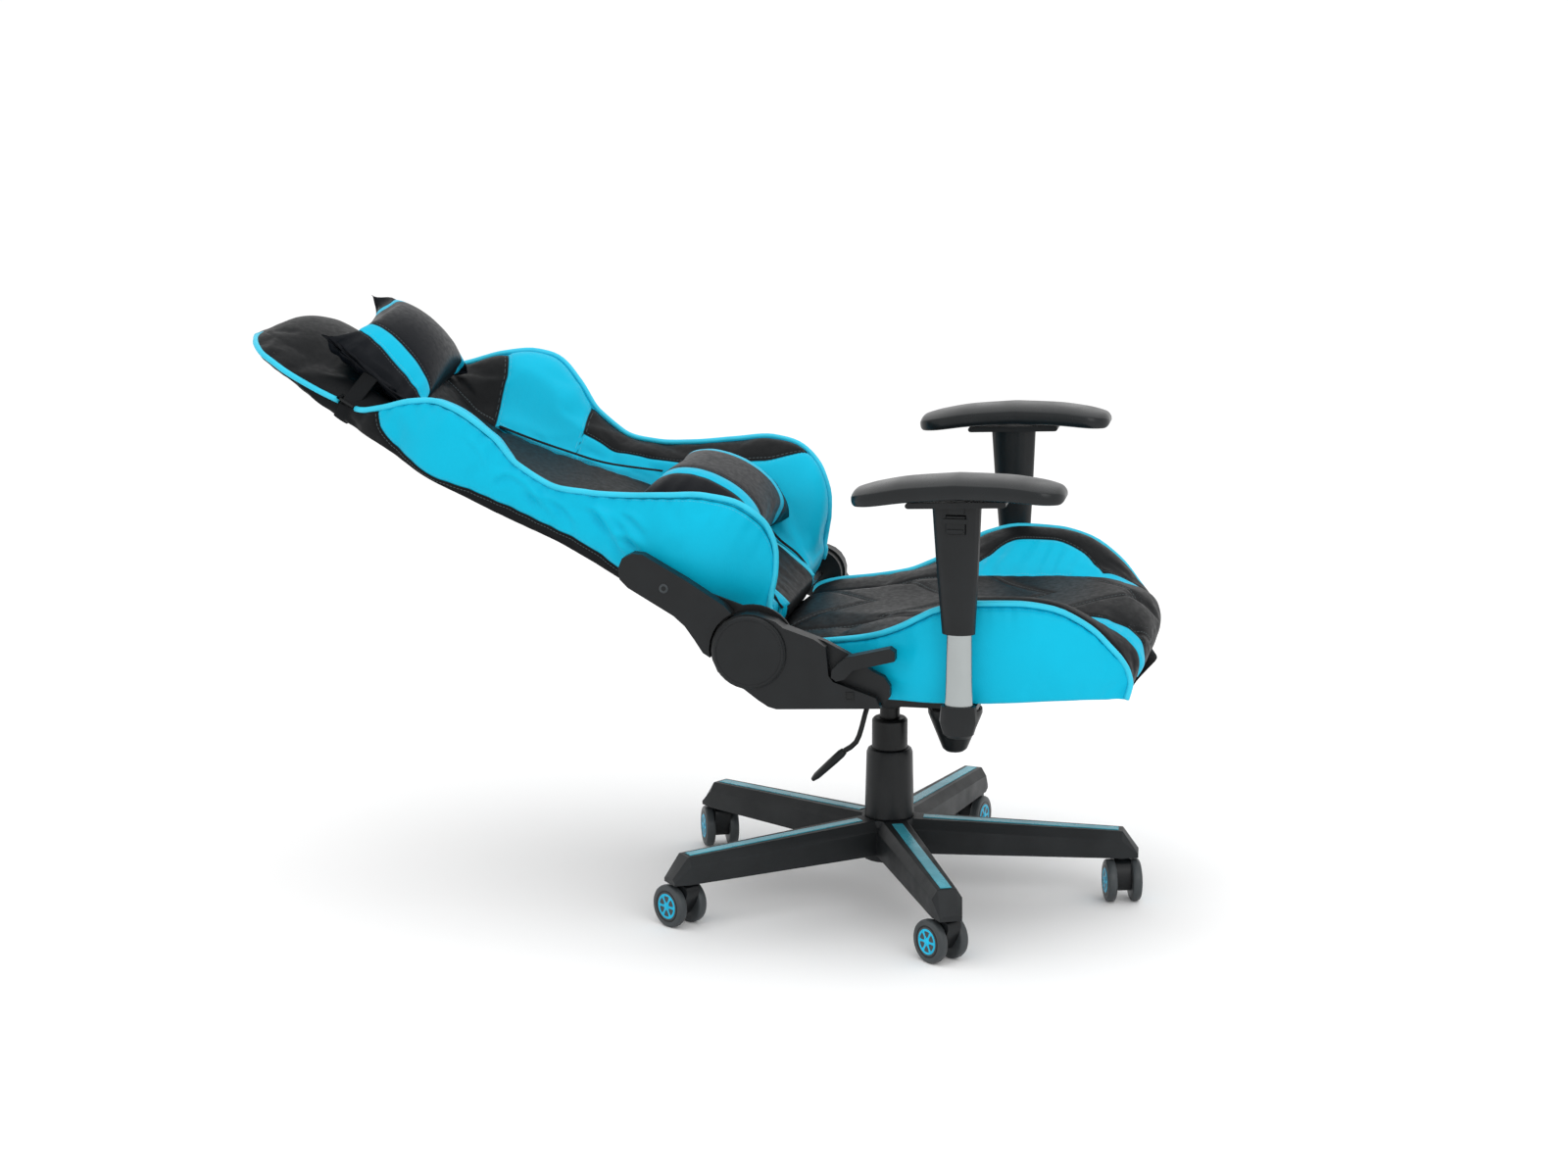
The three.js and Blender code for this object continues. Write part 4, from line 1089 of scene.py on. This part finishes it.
def lumbar_straps():
    """The lumbar cushion's straps, up along the wing seams and down behind the seat."""
    for name, side in RIGHT_AND_LEFT:
        for end, points in (("top", LUMBAR_STRAP_TOP), ("bottom", LUMBAR_STRAP_BOTTOM)):
            path = smooth_path(in_back(*[(side * x, u, w) for x, u, w in points]), 24)
            strap(f"lumbar_strap_{end}_{name}", path, 0.01, up=BACK.to_3x3() @ Vector((0, 0, 1)))


# ---- Hard pieces ----

HARD_FINISHES = (
    (NYLON, ["star_base"]),
    (BOARD, ["seat_pan"]),
    (CHROME, ["armrest_tube"]),
    (STEEL, ["tilt_shaft", "tension_spring", "cross_shaft"]),
    (STEEL_BLACK, [
        "gas_cylinder", "gas_piston", "mechanism_housing", "lift_lever_rod", "tilt_plate",
        "recliner_bracket", "armrest_bracket", "back_frame", "back_arm",
    ]),
    (PLASTIC, [
        "column_cover", "tension_knob", "lift_lever_grip", "lower_cover", "upper_cover",
        "recline_lever", "armrest_cup", "armrest_sleeve", "armrest_button", "caster_housing",
    ]),
)
EDGE_WIDTH = {"star_base": 0.0018, "upper_cover": 0.003, "lower_cover": 0.002}
PLAIN_EDGE_WIDTH = 0.0009


def dress_hard_nodes():
    """A finish for each CAD node that stays, with its edges softened."""
    finish_of = {key: finish for finish, keys in HARD_FINISHES for key in keys}
    for name, node in NODES.items():
        if node.hide_render:
            continue
        key = next(k for k in finish_of if name.startswith(k))
        finish_with(node, finish_of[key])
        node.data.polygons.foreach_set("use_smooth", [True] * len(node.data.polygons))
        custom = node.data.attributes.get("custom_normal")
        if custom:
            node.data.attributes.remove(custom)
        node.modifiers.new("weld", "WELD").merge_threshold = 0.00002
        bevel = node.modifiers.new("edges", "BEVEL")
        bevel.width = EDGE_WIDTH.get(key, PLAIN_EDGE_WIDTH)
        bevel.segments = 3
        bevel.limit_method = "ANGLE"
        bevel.angle_limit = math.radians(28)
        bevel.harden_normals = True


def wheel_axis(name):
    """A wheel's middle and its axle's direction, away from the other wheel of the pair."""
    co = points_of(NODES[name])
    centre = middle(name)
    _, _, axes = np.linalg.svd(co - co.mean(axis=0), full_matrices=False)
    axle = Vector(axes[2]).normalized()
    other = name[:-1] + ("b" if name.endswith("a") else "a")
    if (centre - middle(other)).dot(axle) < 0:
        axle = -axle
    return centre, axle


def wheel(name):
    """A caster wheel: soft tread, black rim and a blue six-spoked cap on its outer face."""
    centre, axle = wheel_axis(name)
    turn = axle.to_track_quat("Z", "Y").to_matrix().to_4x4()
    place = placed(centre, turn)
    tread = lathe(
        f"tread_{name}",
        [(21, -6.4), (27, -6.4), (28.6, -5.4), (29.4, -3.2), (29.5, 0), (29.4, 3.2), (28.6, 5.4),
         (27, 6.4), (22, 6.5)],
        place,
    )
    rim = lathe(
        f"rim_{name}",
        [(4.5, -6.0), (20.5, -6.0), (21.5, -5.2), (22.4, 0), (22, 6.6), (20.6, 7.0), (18.6, 6.2),
         (17.6, 4.6), (4, 4.4)],
        place,
    )
    cap = spoked_cap(f"cap_{name}", place)
    for piece, material, slot in (
        (tread, TREAD, "wheel_tread"), (rim, PLASTIC, "black_plastic"), (cap, CAP_BLUE, None)
    ):
        finish_with(piece, material)
        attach(piece, BODY_OF[name])
    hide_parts(name)


SPOKE_COUNT = 6
SPOKE_WIDE, SPOKE_NARROW = 2.9, 1.6  # half widths at the spoke's ends and at its waist


def spoked_cap(name, place):
    ring = lathe(
        f"{name}_ring",
        [(13.6, 4.8), (13.8, 6.3), (14.6, 7.0), (16.6, 7.0), (17.4, 6.4), (17.4, 4.8)],
        place,
    )
    boss = [(0.4, 4.6), (5, 4.6), (5, 6.6), (4.2, 7.4), (0.4, 7.6)]
    edge = [(3.5, -SPOKE_WIDE), (8.5, -SPOKE_NARROW), (14.2, -SPOKE_WIDE)]
    outline = edge + [(r, -y) for r, y in reversed(edge)]
    rings = [[(r, y * narrowing, h) for r, y in outline] for narrowing, h in ((1, 4.7), (0.8, 6.7))]
    spokes = [
        prism(f"{name}_spoke", rings, place @ turned(360 / SPOKE_COUNT * k, "Z"))
        for k in range(SPOKE_COUNT)
    ]
    return joined(name, [ring, lathe(f"{name}_boss", boss, place, 24), *spokes])


LEG_FIRST, LEG_STEP, LEG_COUNT = 58.4, 72.0, 5
INLAY_FROM, INLAY_TO, INLAY_HALF = 48, 318, 7.6
INLAY_SECTION = [(-1, -0.6), (-1, 0.5), (-0.9, 0.9), (0.9, 0.9), (1, 0.5), (1, -0.6)]
LEG_TOP_SLOPE = profile((20, 110), (324, 99))


def base_inlays():
    """A blue strip let into the top of each leg."""
    rings = [
        [(r, INLAY_HALF * a, float(LEG_TOP_SLOPE(r)) + h) for a, h in INLAY_SECTION]
        for r in np.linspace(INLAY_FROM, INLAY_TO, 12)
    ]
    for k in range(LEG_COUNT):
        place = placed((COLUMN.x, COLUMN.y, 0), turned(LEG_FIRST + LEG_STEP * k, "Z"))
        strip = prism(f"leg_inlay_{k + 1}", rings, place)
        finish_with(strip, INLAY_BLUE)
        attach(strip, "base")


PAD_MIDDLE_Y, PAD_REACH, PAD_HALF, PAD_CORNER, PAD_NOSE = -134, 137, 45, 34, 8
PAD_PIVOT = (-136, 616)  # the pads lean with the seat about this (y, z), measured from the column
PAD_TOP = profile((0, 648.4), (62, 645), (102, 639), (123, 634), (137, 630))
PAD_BOTTOM = profile((0, 621.5), (60, 618.5), (110, 613.5), (137, 611.5))


def arm_pad(side_name):
    """A curved foam pad: a low crown over steep sides, with a crease between them."""
    low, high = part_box(f"armrest_pad_{side_name}")
    from_tip = PAD_REACH * (1 - np.cos(np.linspace(0.03, math.pi / 2, 30)))
    y = np.append(PAD_REACH - from_tip, from_tip[-2::-1] - PAD_REACH)
    end = PAD_REACH - np.abs(y)
    corner = np.sqrt(np.clip(1 - np.clip(1 - end / PAD_CORNER, 0, 1) ** 2, 0, 1))
    half = PAD_HALF - PAD_CORNER + PAD_CORNER * corner
    share = np.sqrt(1 - np.clip(1 - end / PAD_NOSE, 0, 1) ** 2)
    top, bottom = PAD_TOP(np.abs(y)), PAD_BOTTOM(np.abs(y))
    tall = top - bottom
    middle_z = bottom + 0.5 * tall
    t = np.linspace(0, 1, 11)
    crown = [(a * 0.955, 1 - 0.27 * a**2.6) for a in t]
    wall = [
        (0.965, 0.7), (0.985, 0.6), (1, 0.45), (1, 0.28), (0.985, 0.12), (0.94, 0.02), (0.86, 0),
    ]
    half_section = np.array(crown + wall + [(0.6, 0.0), (0.3, 0.0), (0.0, 0.0)])
    section = np.vstack([half_section, half_section[-2:0:-1] * (-1, 1)])
    z = middle_z[:, None] + np.outer(tall * share, section[:, 1] - 0.5)
    x = np.outer(half, section[:, 0])
    rings = np.stack([x, np.repeat(y[:, None], len(section), 1), z], axis=2)
    pivot_y, pivot_z = PAD_PIVOT
    at = ((low.x + high.x) / 2, COLUMN.y + pivot_y * MM, pivot_z * MM)
    shift = Matrix.Translation((0, PAD_MIDDLE_Y - pivot_y, -pivot_z))
    place = placed(at, turned(SEAT_TILT, "X")) @ shift
    piece = skin(f"arm_pad_{side_name}", rings, place)
    subdivide(piece)
    finish_with(piece, SOFT_PAD)
    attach(piece, f"armrest_{side_name}")
    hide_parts(f"armrest_pad_{side_name}")


SCREW_AT = (270, 139, 11)
DISC_RADIUS = {"right": 51, "left": 36}
DISC_FACE = 0.281  # metres from the middle plane to the face that carries the rim
DISC_RIM = [(-8, -0.5), (-8, 0.5), (-7, 1), (-5.5, 1), (-4.5, 0.5), (-4.5, -0.5)]
SOCKET_AT = (-0.2763, 0.010, 0.346)  # y is measured from the column
SOCKET_HALF = 5


def cover_details():
    """The screw and the disc's rim on each side's covers, and the right one's square socket, a shallow inset whose
    darker finish is painted shade in the hole.
    """
    for name, side in RIGHT_AND_LEFT:
        out = turned(90 * side, "Y")
        x, u, w = SCREW_AT
        screw = lathe(
            f"cover_screw_{name}",
            [(6.4, -0.4), (6.4, 0.5), (5.4, 0.9), (4.6, 0.4), (2.6, -0.2), (0.3, -0.3)],
            placed(BACK @ Vector((side * x, u, w)), out), 24,
        )
        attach(finish_with(screw, DARK_STEEL), "back")
        outline = [(DISC_RADIUS[name] + r, h) for r, h in DISC_RIM]
        place = placed((side * DISC_FACE, PIVOT.y, PIVOT.z), out)
        rim = lathe(f"disc_rim_{name}", outline, place, 72)
        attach(finish_with(rim, PLASTIC), BODY_OF[f"lower_cover_{name}"])
    x, y, z = SOCKET_AT
    rings = [
        [(a * SOCKET_HALF * k, b * SOCKET_HALF * k, h) for a, b in SQUARE]
        for k, h in ((1.15, 0), (1.1, 0.8), (0.8, 0.8), (0.75, 0.1))
    ]
    # A shallow square recess in a darker finish than the cover: painted shade for the depth of the hole.
    socket = prism("cover_socket", rings, placed((x, COLUMN.y + y, z), turned(-90, "Y")))
    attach(finish_with(socket, STEEL_BLACK), BODY_OF["lower_cover_right"])


# ---- Lights and floor ----


FLOOR_HALF = 60


def area_light(name, at, target, size, power):
    data = bpy.data.lights.new(name, "AREA")
    data.shape = "RECTANGLE"
    data.size, data.size_y = size
    data.energy = power
    aimed(name, data, at, target)


def studio():
    scene = bpy.context.scene
    scene.view_settings.view_transform = "Standard"
    world = bpy.data.worlds.new("studio")
    scene.world = world
    world.use_nodes = True
    background = world.node_tree.nodes["Background"]
    background.inputs["Color"].default_value = (1, 1, 1, 1)
    background.inputs["Strength"].default_value = 1.06
    area_light("overhead", (-0.4, 0.1, 3.4), (0, -0.1, 0.4), (3.2, 3.2), 25)
    area_light("key", (-3.0, -2.6, 2.6), (0, -0.1, 0.5), (2.2, 2.2), 30)
    corners = [(a * FLOOR_HALF, b * FLOOR_HALF, 0) for a, b in SQUARE]
    floor = mesh_object("floor", corners, [(0, 1, 2, 3)])
    finish_with(floor, painted_floor())


# ---- The chair ----


def build_backrest():
    cover, lines, round_head = back_upholstery()
    finish_with(cover, UPHOLSTERY)
    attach(cover, "back")
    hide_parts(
        "back_cushion", "head_cushion", "rear_cover", "back_wing_right", "back_wing_left"
    )
    for piece in back_piping(lines):
        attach(piece, "back")
    for cushion, fill in ((neck_pillow(), 0.7), (lumbar_cushion(), 0.8)):
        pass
    neck_strap(round_head)
    lumbar_straps()


def build_seat():
    cover, lines = seat_upholstery()
    finish_with(cover, UPHOLSTERY)
    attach(cover, "seat")
    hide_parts("seat_cushion", "seat_bolster_right", "seat_bolster_left")
    for side, _ in RIGHT_AND_LEFT:
        piece = piping(f"seat_piping_{side}", lines[side])
        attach(piece, "seat")


studio()
build_backrest()
build_seat()
for side_name, _ in RIGHT_AND_LEFT:
    arm_pad(side_name)
for wheel_name in sorted(n for n in NODES if n.startswith("caster_wheel")):
    wheel(wheel_name)
base_inlays()
cover_details()
dress_hard_nodes()
